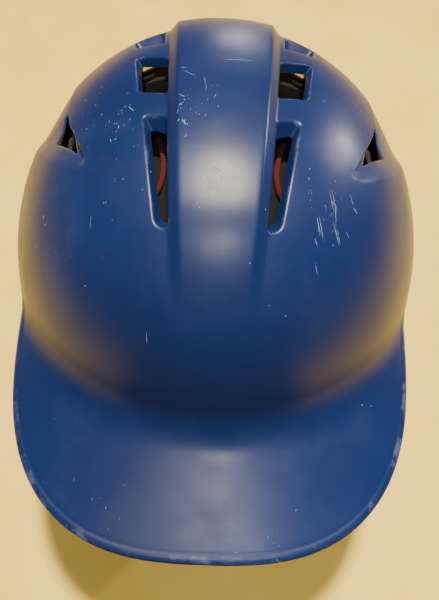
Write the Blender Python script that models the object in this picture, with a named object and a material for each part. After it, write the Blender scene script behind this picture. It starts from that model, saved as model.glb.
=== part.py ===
"""Batting helmet: a one-piece moulded shell with a bill and two ear flaps, foam liner
segments, removable comfort pads and the hook-and-loop tabs that hold them.

The front of the helmet is -Y, +X is the wearer's left, +Z is up, and the helmet stands on
the flat bottoms of its ear flaps at z = 0. Lengths are millimetres until a mesh is made.

Every piece is laid out on a flat map of the helmet. A map point (p, q) lies at the
distance rho = hypot(p, q) from the crown, measured down the meridian at the angle theta,
where theta is 0 at the front and 180 degrees at the rear.
"""
import math

import bpy
import numpy as np
from mathutils import Vector
from mathutils.geometry import delaunay_2d_cdt

MM = 0.001

# Crown
HALF_WIDTH = 107.2
FRONT_LENGTH = 118.9
REAR_LENGTH = 122.1
PLAN_POWER = 2.05
EQUATOR_Z = 105.0
CROWN_RISE = 111.5
CROWN_FULLNESS = 0.10
SIDE_LEAN = 0.06
REAR_LEAN = 0.14
WALL = 3.5
LENGTH_SHIFT = 21.93
QUARTER = CROWN_RISE * (1 + CROWN_FULLNESS) * math.pi / 2
LEAN_REACH = QUARTER * 2 / math.pi

# Raised centre rib
RIB_HEIGHT = 3.6
RIB_CHAMFER = 4.6
RIB_MID_HALF = 18.6
RIB_WIDENING = 0.058
RIB_FRONT = (-84.0, -60.0)

# Bill
BILL_HALF = 97.5
BILL_BACK_Y = -55.0
BILL_NOTCH_Y = 43.0
BILL_REACH = 114.5
BILL_POWER = 2.7
BILL_TIP_Z = 115.5
ROOT_FRONT_Z = 133.0
ROOT_SIDE_DROP = 8.0
ROOT_FILLET = 18.0

# Ear flaps, as (distance behind the side line, height) on the unrolled side wall
UNROLL = 1.9
NOTCH_GAP = 1.5
FLAP_CORNERS = [
    (-38.0, 92.0, 30.0),
    (-38.0, 58.0, 30.0),
    (-46.0, 24.0, 22.0),
    (-37.0, 0.0, 16.0),
    (40.0, 0.0, 18.0),
    (54.0, 54.0, 32.0),
]
NAPE_Z = 58.0
EAR_CENTRE = (-3.0, 46.0)
EAR_RADIUS = 18.0

# Vents in plan, +X side: (front inner, front outer, rear outer, rear inner). A vent's wall
# slopes in from its lip to its hole, or is cut straight through the shell.
VENTS = {
    "front_slot": {
        "hole": [(20.4, -56.8), (23.8, -54.8), (31.3, -12.4), (23.5, -15.8)],
        "lip": [(19.5, -59.6), (24.7, -57.4), (32.9, -8.6), (22.8, -11.2)],
        "corner": 1.2,
        "depth": 5.5,
        "straight": False,
    },
    "square": {
        "hole": [(24.4, 4.2), (36.0, 7.8), (40.0, 34.0), (26.2, 28.2)],
        "lip": [(23.4, 2.8), (36.6, 6.4), (41.0, 35.4), (25.2, 29.0)],
        "corner": 0.8,
        "depth": 4.5,
        "straight": False,
    },
    "rear": {
        "hole": [(29.0, 46.5), (42.0, 50.0), (44.0, 62.5), (31.0, 65.5)],
        "lip": [(28.2, 45.2), (43.0, 48.6), (45.6, 64.0), (30.2, 67.5)],
        "corner": 1.2,
        "depth": 6.5,
        "straight": False,
    },
    "scoop": {
        "hole": [(66.0, -15.4), (84.0, 2.2), (85.8, 27.5), (77.3, 24.6), (73.2, 2.2)],
        "lip": [(64.2, -15.2), (79.2, 1.8), (80.3, 26.5), (75.2, 24.0), (71.4, 2.0)],
        "corner": 0.8,
        "depth": 9.0,
        "straight": True,
    },
}
VENT_WALL = 2.4

# Side scoop: its upper ledge and its front crest, as (theta, phi) in degrees
LEDGE = [(65.0, 34.3), (74.0, 35.2), (84.5, 37.4), (94.0, 40.5), (103.0, 43.4),
         (113.5, 47.0), (126.0, 52.5)]
CREST = [(65.0, 34.3), (67.0, 37.4), (73.0, 41.2), (80.0, 46.0), (86.5, 51.0),
         (94.0, 57.0), (103.0, 64.0)]
SCOOP_DEPTH = 7.0
SCOOP_STEP = 1.6
SCOOP_FADE = 52.0
CREST_SLOPE = 0.30
SCOOP_REAR = (100.0, 127.0)

# Foam liner and comfort pads, as depths inside the crown's outer surface
LINER_OUT = 4.0
LINER_IN = 15.0
VENT_RELIEF = 4.2
PAD_OUT = 17.9
PAD_IN = 25.5
TAB_OUT = 15.9
TAB_IN = 17.3
TAB_RADIUS = 9.0
CROWN_PAD_PLAN = [(20.0, -59.0), (34.0, -57.0), (46.0, -36.0), (55.0, -8.0), (57.0, 40.0),
                  (48.0, 66.0), (34.0, 66.0), (27.0, 40.0), (24.0, 0.0)]
PIPING_PLAN = [(37.0, 16.0), (32.5, -4.0), (29.0, -16.5), (27.5, -26.5), (29.5, -37.0),
               (37.0, -44.0), (44.0, -36.0)]
PIPING_RADIUS = 1.1
GAP = 0.3

# Mesh sizes
SHELL_STEP = 10.5
EDGE_STEP = 7.0
PAD_STEP = 13.0

ROYAL_BLUE = (0.028, 0.088, 0.330)
FOAM_YELLOW = (0.900, 0.720, 0.060)
FOAM_CHARCOAL = (0.030, 0.030, 0.031)
PAD_CHARCOAL = (0.045, 0.043, 0.036)
PIPING_RED = (0.450, 0.020, 0.012)
TAB_BLACK = (0.012, 0.012, 0.014)


def smooth_step(value, low, high):
    """Go from 0 at low to 1 at high."""
    t = np.clip((value - low) / (high - low), 0.0, 1.0)
    return t * t * (3 - 2 * t)


# ------------------------------------------------------------------ crown surface

def plan_radius(theta):
    """Give the crown's radius at its widest level in the direction theta."""
    length = np.where(np.cos(theta) > 0, FRONT_LENGTH, REAR_LENGTH)
    side = np.abs(np.sin(theta) / HALF_WIDTH) ** PLAN_POWER
    ahead = np.abs(np.cos(theta) / length) ** PLAN_POWER
    return (side + ahead) ** (-1 / PLAN_POWER)


def crown_profile(theta, rho):
    """Give the radius and height of the plain crown at the distance rho down a meridian."""
    phi = np.minimum(rho / QUARTER, 1.0) * math.pi / 2
    drop = np.maximum(rho - QUARTER, 0.0)
    lean = SIDE_LEAN + (REAR_LEAN - SIDE_LEAN) * np.clip(-np.cos(theta), 0, 1) ** 2
    tuck = 1 - lean * (1 - np.exp(-drop ** 2 / (2 * lean * LEAN_REACH ** 2)))
    radius = plan_radius(theta) * np.sin(phi) * tuck
    rise = CROWN_RISE * np.cos(phi) * (1 + CROWN_FULLNESS * np.sin(phi) ** 2)
    return radius, EQUATOR_Z + rise - drop


def rho_at_height(z):
    """Give the distance down the meridian at which the crown reaches the height z."""
    rho = np.linspace(0, QUARTER * 1.8, 400)
    heights = crown_profile(np.zeros(400), rho)[1]
    return np.interp(-z, -heights, rho)


def from_plan(x, y):
    """Give the map point above a plan point of the upper crown."""
    theta = np.arctan2(x, -y)
    phi = np.arcsin(np.minimum(np.hypot(x, y) / plan_radius(theta), 1.0))
    return polar(theta, phi * QUARTER * 2 / math.pi)


def from_side(along, z):
    """Give the map point of a place on the unrolled +X side wall."""
    theta = np.radians(90 + np.asarray(along) / UNROLL)
    return polar(theta, QUARTER + EQUATOR_Z - np.asarray(z))


def polar(theta, rho):
    """Give the map point at an angle and a distance."""
    return np.stack([rho * np.sin(theta), -rho * np.cos(theta)], axis=-1)


# ------------------------------------------------------------------ bill surface

def bill_edge(theta):
    """Give the plan radius of the bill's edge in the direction theta."""
    t = np.linspace(0, math.pi / 2, 200)
    x = BILL_HALF * np.sin(t) ** (2 / BILL_POWER)
    y = -BILL_BACK_Y + BILL_REACH * np.cos(t) ** (2 / BILL_POWER)
    x = np.append(x, BILL_HALF)
    y = np.append(y, 20.0)
    return np.interp(np.abs(theta), np.arctan2(x, y), np.hypot(x, y))


def bill_edge_height(theta):
    """Give the height of the bill's edge, which rises to meet the crown at the notch."""
    tip = BILL_REACH - BILL_BACK_Y
    reach = bill_edge(theta) * np.cos(theta)
    back = np.clip((tip - reach) / (tip - BILL_NOTCH_Y), 0, 1)
    return BILL_TIP_Z + (root_height(theta) - BILL_TIP_Z) * back ** 4


def root_height(theta):
    """Give the height at which the bill's line meets the crown."""
    return ROOT_FRONT_Z - ROOT_SIDE_DROP * (theta / math.radians(64)) ** 2


def bill_lines(theta):
    """Give the fillet start, corner, fillet end and edge of the bill on a meridian."""
    rho_root = rho_at_height(root_height(theta))
    root = np.stack(crown_profile(theta, rho_root), axis=-1)
    edge = np.stack([bill_edge(theta), bill_edge_height(theta)], axis=-1)
    width = np.maximum(np.linalg.norm(edge - root, axis=-1), 0.05)
    reach = width * ROOT_FILLET / (width + ROOT_FILLET)
    start_rho = rho_root - reach
    start = np.stack(crown_profile(theta, start_rho), axis=-1)
    below = np.stack(crown_profile(theta, start_rho + 0.1), axis=-1)
    corner = start + (below - start) / 0.1 * reach[..., None]
    line = edge - corner
    line = line / np.maximum(np.linalg.norm(line, axis=-1), 1e-6)[..., None]
    end = corner + line * reach[..., None]
    return start_rho, reach, start, corner, end, edge


def bill_rho(theta):
    """Give the map distance of the bill's edge in the direction theta."""
    start_rho, reach, start, corner, end, edge = bill_lines(theta)
    return start_rho + 1.6 * reach + np.linalg.norm(edge - end, axis=-1)


def bill_profile(theta, rho):
    """Give radius and height on a meridian that turns out into the bill."""
    start_rho, reach, start, corner, end, edge = bill_lines(theta)
    radius, z = crown_profile(theta, np.minimum(rho, start_rho))
    t = np.clip((rho - start_rho) / (1.6 * reach), 0, 1)[..., None]
    turn = (1 - t) ** 2 * start + 2 * t * (1 - t) * corner + t ** 2 * end
    span = np.maximum(np.linalg.norm(edge - end, axis=-1), 1e-6)
    out = np.clip(rho - start_rho - 1.6 * reach, 0, span + 1.0) / span
    point = turn + (edge - end) * out[..., None]
    on_bill = rho > start_rho
    return np.where(on_bill, point[..., 0], radius), np.where(on_bill, point[..., 1], z)


def find_notch():
    """Find the angle at which the bill's edge runs into the crown."""
    theta = np.radians(np.linspace(50, 75, 501))
    crown = crown_profile(theta, rho_at_height(root_height(theta)))[0]
    inside = bill_edge(theta) <= crown
    return float(theta[np.argmax(inside)])


NOTCH = find_notch()


# ------------------------------------------------------------------ skin with its relief

def place(p, q, bill):
    """Give the plain outer surface at map points, on the bill where bill is true."""
    rho = np.hypot(p, q)
    theta = np.arctan2(p, -q)
    radius, z = crown_profile(theta, rho)
    inside = np.clip(theta, -NOTCH, NOTCH)
    bill_r, bill_z = bill_profile(inside, rho)
    radius = np.where(bill, bill_r, radius)
    z = np.where(bill, bill_z, z)
    return np.stack([radius * np.sin(theta), -radius * np.cos(theta), z], axis=-1)


def skin(p, q, inset, with_bill=True):
    """Give the points at a depth inside the plain outer surface."""
    p = np.asarray(p, dtype=float)
    q = np.asarray(q, dtype=float)
    theta = np.abs(np.arctan2(p, -q))
    reach = bill_rho(np.minimum(theta, NOTCH))
    bill = (theta < NOTCH) & (np.hypot(p, q) < reach + 1.0) & with_bill
    step = 0.4
    along_p = place(p + step, q, bill) - place(p - step, q, bill)
    along_q = place(p, q + step, bill) - place(p, q - step, bill)
    normal = np.cross(along_p, along_q)
    length = np.maximum(np.linalg.norm(normal, axis=-1), 1e-9)
    return place(p, q, bill) - normal / length[..., None] * np.asarray(inset)[..., None]


def polyline_distance(p, q, line):
    """Give each point's distance to a polyline and the side of it that it lies on."""
    best = np.full(np.shape(p), 1e9)
    side = np.zeros(np.shape(p))
    for (ax, ay), (bx, by) in zip(line[:-1], line[1:]):
        dx, dy = bx - ax, by - ay
        t = np.clip(((p - ax) * dx + (q - ay) * dy) / (dx * dx + dy * dy), 0, 1)
        gap = np.hypot(p - ax - t * dx, q - ay - t * dy)
        nearer = gap < best - 1e-9
        best = np.where(nearer, gap, best)
        side = np.where(nearer, np.sign(dx * (q - ay) - dy * (p - ax)), side)
    return best, side


def smooth_line(points, count):
    """Draw a smooth curve through points given as angles in degrees, on the map."""
    points = np.array(points, dtype=float)
    padded = np.vstack([2 * points[0] - points[1], points, 2 * points[-1] - points[-2]])
    curve = []
    for a, b, c, d in zip(padded[:-3], padded[1:-2], padded[2:-1], padded[3:]):
        for t in np.arange(count) / count:
            curve.append(0.5 * (2 * b + (c - a) * t + (2 * a - 5 * b + 4 * c - d) * t ** 2
                                + (3 * b - a - 3 * c + d) * t ** 3))
    curve.append(points[-1])
    curve = np.array(curve)
    return polar(np.radians(curve[:, 0]), curve[:, 1] / 90 * QUARTER)


LEDGE_LINE = smooth_line(LEDGE, 3)
CREST_LINE = smooth_line(CREST, 3)


def rib_half(q):
    """Give half the rib's flat width, in plan, at the map distance q."""
    return RIB_MID_HALF + RIB_WIDENING * q


def rib_map(q, extra):
    """Give the map distance sideways at which the rib's edge lies, extra mm out."""
    target = rib_half(q) + extra
    p = target.copy()
    for _ in range(8):
        rho = np.hypot(p, q)
        radius = crown_profile(np.arctan2(p, -q), rho)[0]
        p = target * rho / np.maximum(radius, 1e-6)
    return p


def relief(p, q):
    """Give the height of the rib and the scoops above the plain outer surface."""
    p = np.abs(p)
    rho = np.hypot(p, q)
    x = p * crown_profile(np.arctan2(p, -q), rho)[0] / np.maximum(rho, 1e-6)
    rib = 1 - np.clip((x - rib_half(q)) / RIB_CHAMFER, 0, 1)
    rib = rib * RIB_HEIGHT * smooth_step(q, *RIB_FRONT)
    to_ledge, ledge_side = polyline_distance(p, q, LEDGE_LINE)
    to_crest, crest_side = polyline_distance(p, q, CREST_LINE)
    theta = np.degrees(np.arctan2(p, -q))
    depth = SCOOP_DEPTH * np.clip(1 - to_ledge / SCOOP_FADE, 0, 1)
    depth = depth * np.clip(to_ledge / SCOOP_STEP, 0, 1)
    depth = np.minimum(depth, CREST_SLOPE * to_crest)
    depth = depth * (1 - smooth_step(theta, *SCOOP_REAR))
    inside = (ledge_side < 0) & (crest_side > 0)
    return rib - np.where(inside, depth, 0)


# ------------------------------------------------------------------ outlines

def rounded(corners, arc_steps=4, closed=True):
    """Replace each corner (x, y, radius) of a path by an arc-like curve."""
    points = []
    count = len(corners)
    for i, (x, y, radius) in enumerate(corners):
        here = np.array([x, y])
        if not closed and i in (0, count - 1):
            points.append(here)
            continue
        before = np.array(corners[i - 1][:2]) - here
        after = np.array(corners[(i + 1) % count][:2]) - here
        cut_a = min(radius, np.linalg.norm(before) * 0.48)
        cut_b = min(radius, np.linalg.norm(after) * 0.48)
        first = here + before / np.linalg.norm(before) * cut_a
        last = here + after / np.linalg.norm(after) * cut_b
        for t in np.linspace(0, 1, arc_steps + 1):
            points.append((1 - t) ** 2 * first + 2 * t * (1 - t) * here + t ** 2 * last)
    return np.array(points)


def divide(points, step, closed=True):
    """Split long edges of a path so that none is much longer than step."""
    out = []
    ends = np.roll(points, -1, axis=0) if closed else points[1:]
    for a, b in zip(points, ends):
        parts = max(1, round(float(np.linalg.norm(b - a)) / step))
        for i in range(parts):
            out.append(a + (b - a) * i / parts)
    if not closed:
        out.append(points[-1])
    return np.array(out)


def grown(loop, amount):
    """Offset a closed loop outwards by an amount."""
    before = loop - np.roll(loop, 1, axis=0)
    after = np.roll(loop, -1, axis=0) - loop
    area = np.sum(loop[:, 0] * np.roll(loop[:, 1], -1) - np.roll(loop[:, 0], -1) * loop[:, 1])
    turn = before / np.linalg.norm(before, axis=1)[:, None]
    turn = turn + after / np.linalg.norm(after, axis=1)[:, None]
    normal = np.stack([turn[:, 1], -turn[:, 0]], axis=1) * np.sign(area)
    return loop + amount * normal / np.linalg.norm(normal, axis=1)[:, None]


def mirrored(loop):
    """Mirror a loop to the -X side, keeping its direction."""
    return (loop * np.array([-1.0, 1.0]))[::-1]


def vent_loops(kind):
    """Give a vent's hole loop and lip loop on the map, +X side."""
    loops = []
    for key in ("hole", "lip"):
        corners = [(x, y, VENTS[kind]["corner"] * 2) for x, y in VENTS[kind][key]]
        path = rounded(corners, 2)
        loops.append(from_plan(path[:, 0], path[:, 1]))
    return loops


def ear_loop(radius, count=20):
    """Give a round loop about the ear opening on the map, +X side."""
    turn = np.arange(count) / count * 2 * math.pi
    return from_side(EAR_CENTRE[0] + radius * np.cos(turn), EAR_CENTRE[1] + radius * np.sin(turn))


def rim_loop():
    """Give the closed outline of the shell on the map."""
    limit = NOTCH - math.radians(NOTCH_GAP)
    theta = np.linspace(0, limit, 22)
    front = polar(theta, bill_rho(theta))
    notch_side = (math.degrees(NOTCH) - 90) * UNROLL
    notch_z = float(root_height(NOTCH))
    corners = [(notch_side, notch_z - 1.0, 0.0)] + FLAP_CORNERS
    corners = corners + [(90 * UNROLL * 0.62, NAPE_Z, 30.0), (90 * UNROLL, NAPE_Z, 0.0)]
    flap = divide(rounded(corners, 4, closed=False), EDGE_STEP, closed=False)
    flap = from_side(flap[:, 0], flap[:, 1])
    half = np.vstack([front, flap])
    left = (half * np.array([-1.0, 1.0]))[::-1][1:-1]
    return np.vstack([half, left])


# ------------------------------------------------------------------ meshes

def within(points, loop):
    """Tell which points lie inside a closed loop."""
    x, y = points[:, 0], points[:, 1]
    inside = np.zeros(len(points), dtype=bool)
    for (ax, ay), (bx, by) in zip(loop, np.roll(loop, -1, axis=0)):
        crosses = (ay > y) != (by > y)
        slope = (bx - ax) / (by - ay if by != ay else 1e-12)
        inside ^= crosses & (x < ax + (y - ay) * slope)
    return inside


def fill_points(outline, lines, step):
    """Spread an even grid of points inside an outline, clear of every given line."""
    low, high = outline.min(axis=0), outline.max(axis=0)
    rows = np.arange(low[1], high[1], step * 0.866)
    grid = []
    for i, q in enumerate(rows):
        p = np.arange(0, max(high[0], -low[0]), step) + (i % 2) * step / 2
        row = np.concatenate([-p[::-1], p])
        grid.append(np.stack([row, np.full(len(row), q)], axis=1))
    grid = np.unique(np.vstack(grid).round(6), axis=0)
    grid = grid[within(grid, outline)]
    keep = np.ones(len(grid), dtype=bool)
    for line in lines:
        gap = polyline_distance(grid[:, 0], grid[:, 1], line)[0]
        keep &= gap > step * 0.55
    return grid[keep]


def triangulate(outline, holes, creases, step):
    """Triangulate an outline with holes and crease lines; the loops' points come first."""
    loops = [outline] + holes
    closed = [np.vstack([loop, loop[:1]]) for loop in loops]
    inner = fill_points(outline, closed + creases, step)
    for hole in holes:
        inner = inner[~within(inner, hole)]
    points = np.vstack(loops + creases + [inner])
    edges = []
    start = 0
    for loop in loops:
        count = len(loop)
        edges += [(start + i, start + (i + 1) % count) for i in range(count)]
        start += count
    for line in creases:
        edges += [(start + i, start + i + 1) for i in range(len(line) - 1)]
        start += len(line)
    result = delaunay_2d_cdt([Vector(point) for point in points], edges, [], 1, 1e-5)
    flat = np.array([tuple(v) for v in result[0]])
    triangles = np.array(result[2])
    middle = flat[triangles].mean(axis=1)
    keep = np.ones(len(triangles), dtype=bool)
    for hole in holes:
        keep &= ~within(middle, hole)
    order = {}
    for new, sources in enumerate(result[3]):
        for source in sources:
            order[source] = new
    firsts = [[order[i] for i in range(a, a + len(loop))]
              for a, loop in zip(np.cumsum([0] + [len(x) for x in loops[:-1]]), loops)]
    return flat, triangles[keep], firsts


def material(name, colour, roughness):
    """Make a plain material of one colour."""
    result = bpy.data.materials.new(name)
    result.use_nodes = True
    shader = result.node_tree.nodes["Principled BSDF"]
    shader.inputs["Base Color"].default_value = (*colour, 1.0)
    shader.inputs["Roughness"].default_value = roughness
    shader.inputs["Metallic"].default_value = 0.0
    result.diffuse_color = (*colour, 1.0)
    return result


def solid(name, top, bottom, look, smooth=True):
    """Join an outer and an inner sheet into one closed body along their loops."""
    top_points, top_faces, top_loops = top
    low_points, low_faces, low_loops = bottom
    points = np.vstack([top_points, low_points])
    shift = len(top_points)
    faces = [tuple(face) for face in top_faces]
    faces += [tuple(int(i) + shift for i in face[::-1]) for face in low_faces]
    for number, (upper, lower) in enumerate(zip(top_loops, low_loops)):
        for i in range(len(upper)):
            j = (i + 1) % len(upper)
            quad = (upper[i], lower[i] + shift, lower[j] + shift, upper[j])
            faces.append(quad if number == 0 else quad[::-1])
    return finish(name, points, faces, look, smooth)


def finish(name, points, faces, look, smooth=True):
    """Make an object of points in millimetres, with its origin at its middle."""
    middle = (points.min(axis=0) + points.max(axis=0)) / 2
    mesh = bpy.data.meshes.new(name)
    local = (points - middle) * MM
    mesh.from_pydata(local.tolist(), [], [[int(i) for i in face] for face in faces])
    mesh.materials.append(look)
    mesh.validate()
    mesh.polygons.foreach_set("use_smooth", [smooth] * len(mesh.polygons))
    mesh.set_sharp_from_angle(angle=math.radians(32))
    item = bpy.data.objects.new(name, mesh)
    item.location = Vector(middle + np.array([0.0, LENGTH_SHIFT, 0.0])) * MM
    bpy.context.scene.collection.objects.link(item)
    return item


def facing(flat, faces):
    """Turn the triangles so that their map direction is the same."""
    a, b, c = (flat[faces[:, i]] for i in range(3))
    area = np.cross(b - a, c - a)
    turned = faces.copy()
    turned[area < 0] = faces[area < 0][:, ::-1]
    return turned


def signed(loop):
    """Give a loop's points in the anticlockwise direction."""
    area = np.sum(loop[:, 0] * np.roll(loop[:, 1], -1) - np.roll(loop[:, 0], -1) * loop[:, 1])
    return loop if area > 0 else loop[::-1]


# ------------------------------------------------------------------ shell

def build_shell(look):
    """Build the moulded shell: crown, rib, bill, ear flaps, vents and side scoops."""
    outline = signed(rim_loop())
    holes, rings, under_holes, under_rings, depths, lips = [], [], [], [], [], []
    for kind in VENTS:
        hole, lip = vent_loops(kind)
        for turn in (lambda loop: loop, mirrored):
            low, high = signed(turn(hole)), signed(turn(lip))
            lips.append(high)
            if VENTS[kind]["straight"]:
                holes.append(high)
                under_holes.append(low)
                depths.append((-relief(high[:, 0], high[:, 1]), VENTS[kind]["depth"]))
            else:
                holes.append(low)
                under_holes.append(grown(low, VENT_WALL))
                rings.append(high)
                under_rings.append(grown(high, VENT_WALL))
                depths.append((VENTS[kind]["depth"], VENTS[kind]["depth"]))
    ears = [signed(ear_loop(EAR_RADIUS)), signed(mirrored(ear_loop(EAR_RADIUS)))]

    q = np.linspace(RIB_FRONT[0], QUARTER + EQUATOR_Z - NAPE_Z - 6, 34)
    creases = []
    for extra in (0.0, RIB_CHAMFER):
        line = np.stack([rib_map(q, extra), q], axis=1)
        line = line[np.hypot(line[:, 0], q) < q[-1] - 4]
        creases += [line, line * np.array([-1.0, 1.0])]
    for line in (LEDGE_LINE, CREST_LINE):
        creases += [line, line * np.array([-1.0, 1.0])]
    foot = LEDGE_LINE[1:] + step_normal(LEDGE_LINE)[1:] * SCOOP_STEP
    creases += [foot, foot * np.array([-1.0, 1.0])]

    rings = [np.vstack([ring, ring[:1]]) for ring in rings]
    flat, faces, loops = triangulate(outline, holes + ears, clear_of(creases, lips) + rings,
                                     SHELL_STEP)
    inset = -relief(flat[:, 0], flat[:, 1])
    for loop, (depth, _) in zip(loops[1:], depths):
        inset[loop] = depth
    top = (settle(skin(flat[:, 0], flat[:, 1], inset)), facing(flat, faces), loops)

    rings = [np.vstack([ring, ring[:1]]) for ring in under_rings]
    flat, faces, loops = triangulate(outline, under_holes + ears, rings, SHELL_STEP)
    inset = WALL - np.minimum(relief(flat[:, 0], flat[:, 1]), RIB_HEIGHT)
    for loop, (_, depth) in zip(loops[1:], depths):
        inset[loop] = depth
    bottom = (settle(skin(flat[:, 0], flat[:, 1], inset)), facing(flat, faces), loops)
    return solid("shell", top, bottom, look)


def step_normal(line):
    """Give the unit vectors that point from the ledge into the scoop."""
    run = np.gradient(line, axis=0)
    run = run / np.linalg.norm(run, axis=1)[:, None]
    return np.stack([run[:, 1], -run[:, 0]], axis=1)


def clear_of(lines, loops):
    """Cut the stretches out of crease lines that run through a vent."""
    kept = []
    for line in lines:
        blocked = np.zeros(len(line), dtype=bool)
        for loop in loops:
            blocked |= within(line, grown(loop, 0.5))
        run = []
        for point, stop in zip(line, blocked):
            if stop:
                if len(run) > 1:
                    kept.append(np.array(run))
                run = []
            else:
                run.append(point)
        if len(run) > 1:
            kept.append(np.array(run))
    return kept


def settle(points):
    """Set the flap bottoms exactly on the ground plane."""
    points[np.abs(points[:, 2]) < 0.4, 2] = 0.0
    return points


# ------------------------------------------------------------------ liner, pads and tabs

def vent_clearance(p, q):
    """Give how much deeper the foam starts under the vents."""
    extra = np.zeros(np.shape(p))
    side = np.abs(p)
    for kind in VENTS:
        for loop in vent_loops(kind):
            loop = signed(loop)
            gap = polyline_distance(side, q, np.vstack([loop, loop[:1]]))[0]
            inside = within(np.stack([side, q], axis=1), loop)
            near = np.where(inside, 1.0, 1 - smooth_step(gap, VENT_WALL + 0.6, VENT_WALL + 8))
            extra = np.maximum(extra, near * VENT_RELIEF)
    return extra


def scoop_clearance(p, q):
    """Give how much deeper the foam starts under the side scoops."""
    deepest = np.maximum(-relief(p, q), 0)
    for turn in np.arange(8) / 8 * 2 * math.pi:
        for reach in (4.0, 8.0):
            near = relief(p + reach * math.cos(turn), q + reach * math.sin(turn))
            deepest = np.maximum(deepest, -near)
    return deepest


def patch(name, outline, outer, inner, look, step=PAD_STEP, holes=(), follow=False):
    """Build a closed slab between two depths inside the crown, over an outline."""
    outline = signed(divide(np.asarray(outline), step))
    holes = [signed(hole) for hole in holes]
    flat, faces, loops = triangulate(outline, holes, [], step)
    faces = facing(flat, faces)
    depth = np.full(len(flat), float(outer))
    if follow:
        depth = depth + scoop_clearance(flat[:, 0], flat[:, 1])
        depth = np.minimum(depth + vent_clearance(flat[:, 0], flat[:, 1]), inner - 2.5)
    top = (skin(flat[:, 0], flat[:, 1], depth, False), faces, loops)
    bottom = (skin(flat[:, 0], flat[:, 1], np.full(len(flat), float(inner)), False),
              faces, loops)
    return solid(name, top, bottom, look)


def sector(theta_low, theta_high, rho_low, rho_high, corner=10.0, bend=9):
    """Give the outline of a patch between two angles and two map distances."""
    mean = (rho_low + rho_high) / 2
    width = math.radians(theta_high - theta_low) * mean
    box = [(0, rho_low, corner), (width, rho_low, corner), (width, rho_high, corner),
           (0, rho_high, corner)]
    path = divide(rounded(box, 3), width / bend)
    theta = math.radians(theta_low) + path[:, 0] / mean
    return polar(theta, path[:, 1])


def plan_outline(corners, radius):
    """Give a rounded outline laid out in plan, on the map."""
    path = rounded([(x, y, radius) for x, y in corners], 3)
    return from_plan(path[:, 0], path[:, 1])


def both_sides(name, build):
    """Build the wearer's left piece, on the +X side, and its mirrored right one."""
    build("left_" + name, lambda loop: loop)
    build("right_" + name, mirrored)


def build_liner(crown_look, side_look):
    """Build the foam impact liner in five segments."""
    brow = float(rho_at_height(ROOT_FRONT_Z + 4.0))
    patch("front_impact_liner", sector(-50, 50, 84, brow), LINER_OUT, LINER_IN, side_look,
          follow=True)
    patch("crown_impact_liner", plan_outline(
        [(-13.5, -52), (13.5, -52), (16.5, 48), (-16.5, 48)], 8), LINER_OUT, LINER_IN,
        crown_look, follow=True)
    patch("rear_impact_liner", rear_outline(), LINER_OUT, LINER_IN, crown_look, follow=True)

    def side(name, turn):
        patch(name, turn(sector(73, 124, 112, QUARTER + 8)), LINER_OUT, LINER_IN, side_look,
              follow=True)

    both_sides("impact_liner", side)


def rear_outline():
    """Give the rear liner's outline: wide below, with two horns beside the rear vents."""
    right = [(0.0, 86.0, 8.0), (22.0, 76.0, 8.0), (38.0, 61.0, 3.0), (51.0, 56.0, 6.0)]
    right = [(*from_plan(x, y), radius) for x, y, radius in right]
    right += [(*polar(math.radians(132), 118.0), 12.0), (*polar(math.radians(133), 222.0), 14.0)]
    left = [(-p, q, radius) for p, q, radius in right[::-1]]
    tail = [(0.0, 226.0, 8.0)]
    return rounded(right + tail + left[:-1], 3)


def build_pads(pad_look, piping_look):
    """Build the removable comfort pads and the crown pads' red edging."""
    brow = float(rho_at_height(ROOT_FRONT_Z + 5.0))
    patch("brow_pad", sector(-46, 46, brow - 34, brow), PAD_OUT, PAD_IN, pad_look)
    patch("nape_pad", sector(146, 214, 176, 220), PAD_OUT, PAD_IN, pad_look)

    def temple(name, turn):
        patch(name, turn(sector(74, 120, 136, QUARTER - 2)), PAD_OUT, PAD_IN, pad_look)

    def ear(name, turn):
        outer = ear_loop(EAR_RADIUS + 16, 28)
        patch(name, turn(outer), WALL + 2.4, WALL + 18, pad_look, step=11,
              holes=[turn(ear_loop(EAR_RADIUS + 1))])

    def crown(name, turn):
        outline = turn(plan_outline(CROWN_PAD_PLAN, 7))
        patch(name, outline, PAD_OUT, PAD_IN, pad_look, step=10)

    def piping(name, turn):
        route = rounded([(x, y, 6.0) for x, y in PIPING_PLAN], 3, closed=False)
        route = divide(route, 6.0, closed=False)
        build_piping(name, turn(from_plan(route[:, 0], route[:, 1])), piping_look)

    both_sides("temple_pad", temple)
    both_sides("ear_pad", ear)
    both_sides("crown_pad", crown)
    both_sides("crown_pad_piping", piping)


def build_piping(name, route, look, sides=6):
    """Build a round bead that lies along the outer face of a pad, with closed ends."""
    depth = PAD_OUT - PIPING_RADIUS - GAP
    centres = skin(route[:, 0], route[:, 1], np.full(len(route), depth), False)
    deeper = skin(route[:, 0], route[:, 1], np.full(len(route), depth + 1.0), False)
    ahead = np.gradient(centres, axis=0)
    ahead = ahead / np.linalg.norm(ahead, axis=1)[:, None]
    up = (centres - deeper) / np.linalg.norm(centres - deeper, axis=1)[:, None]
    across = np.cross(ahead, up)
    points, faces = [], []
    for i in range(len(route)):
        for j in range(sides):
            turn = 2 * math.pi * j / sides
            ray = math.cos(turn) * up[i] + math.sin(turn) * across[i]
            points.append(centres[i] + PIPING_RADIUS * ray)
            k = (j + 1) % sides
            if i + 1 < len(route):
                after = (i + 1) * sides
                faces.append((i * sides + j, i * sides + k, after + k, after + j))
    last = (len(route) - 1) * sides
    faces.append(tuple(range(sides))[::-1])
    faces.append(tuple(last + j for j in range(sides)))
    finish(name, np.array(points), faces, look)


def tab(name, centre, outer, inner, look, radius=TAB_RADIUS):
    """Build a round hook-and-loop tab at a map point."""
    turn = np.arange(12) / 12 * 2 * math.pi
    outline = centre + radius * np.stack([np.cos(turn), np.sin(turn)], axis=1)
    patch(name, outline, outer, inner, look, step=radius)


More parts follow.
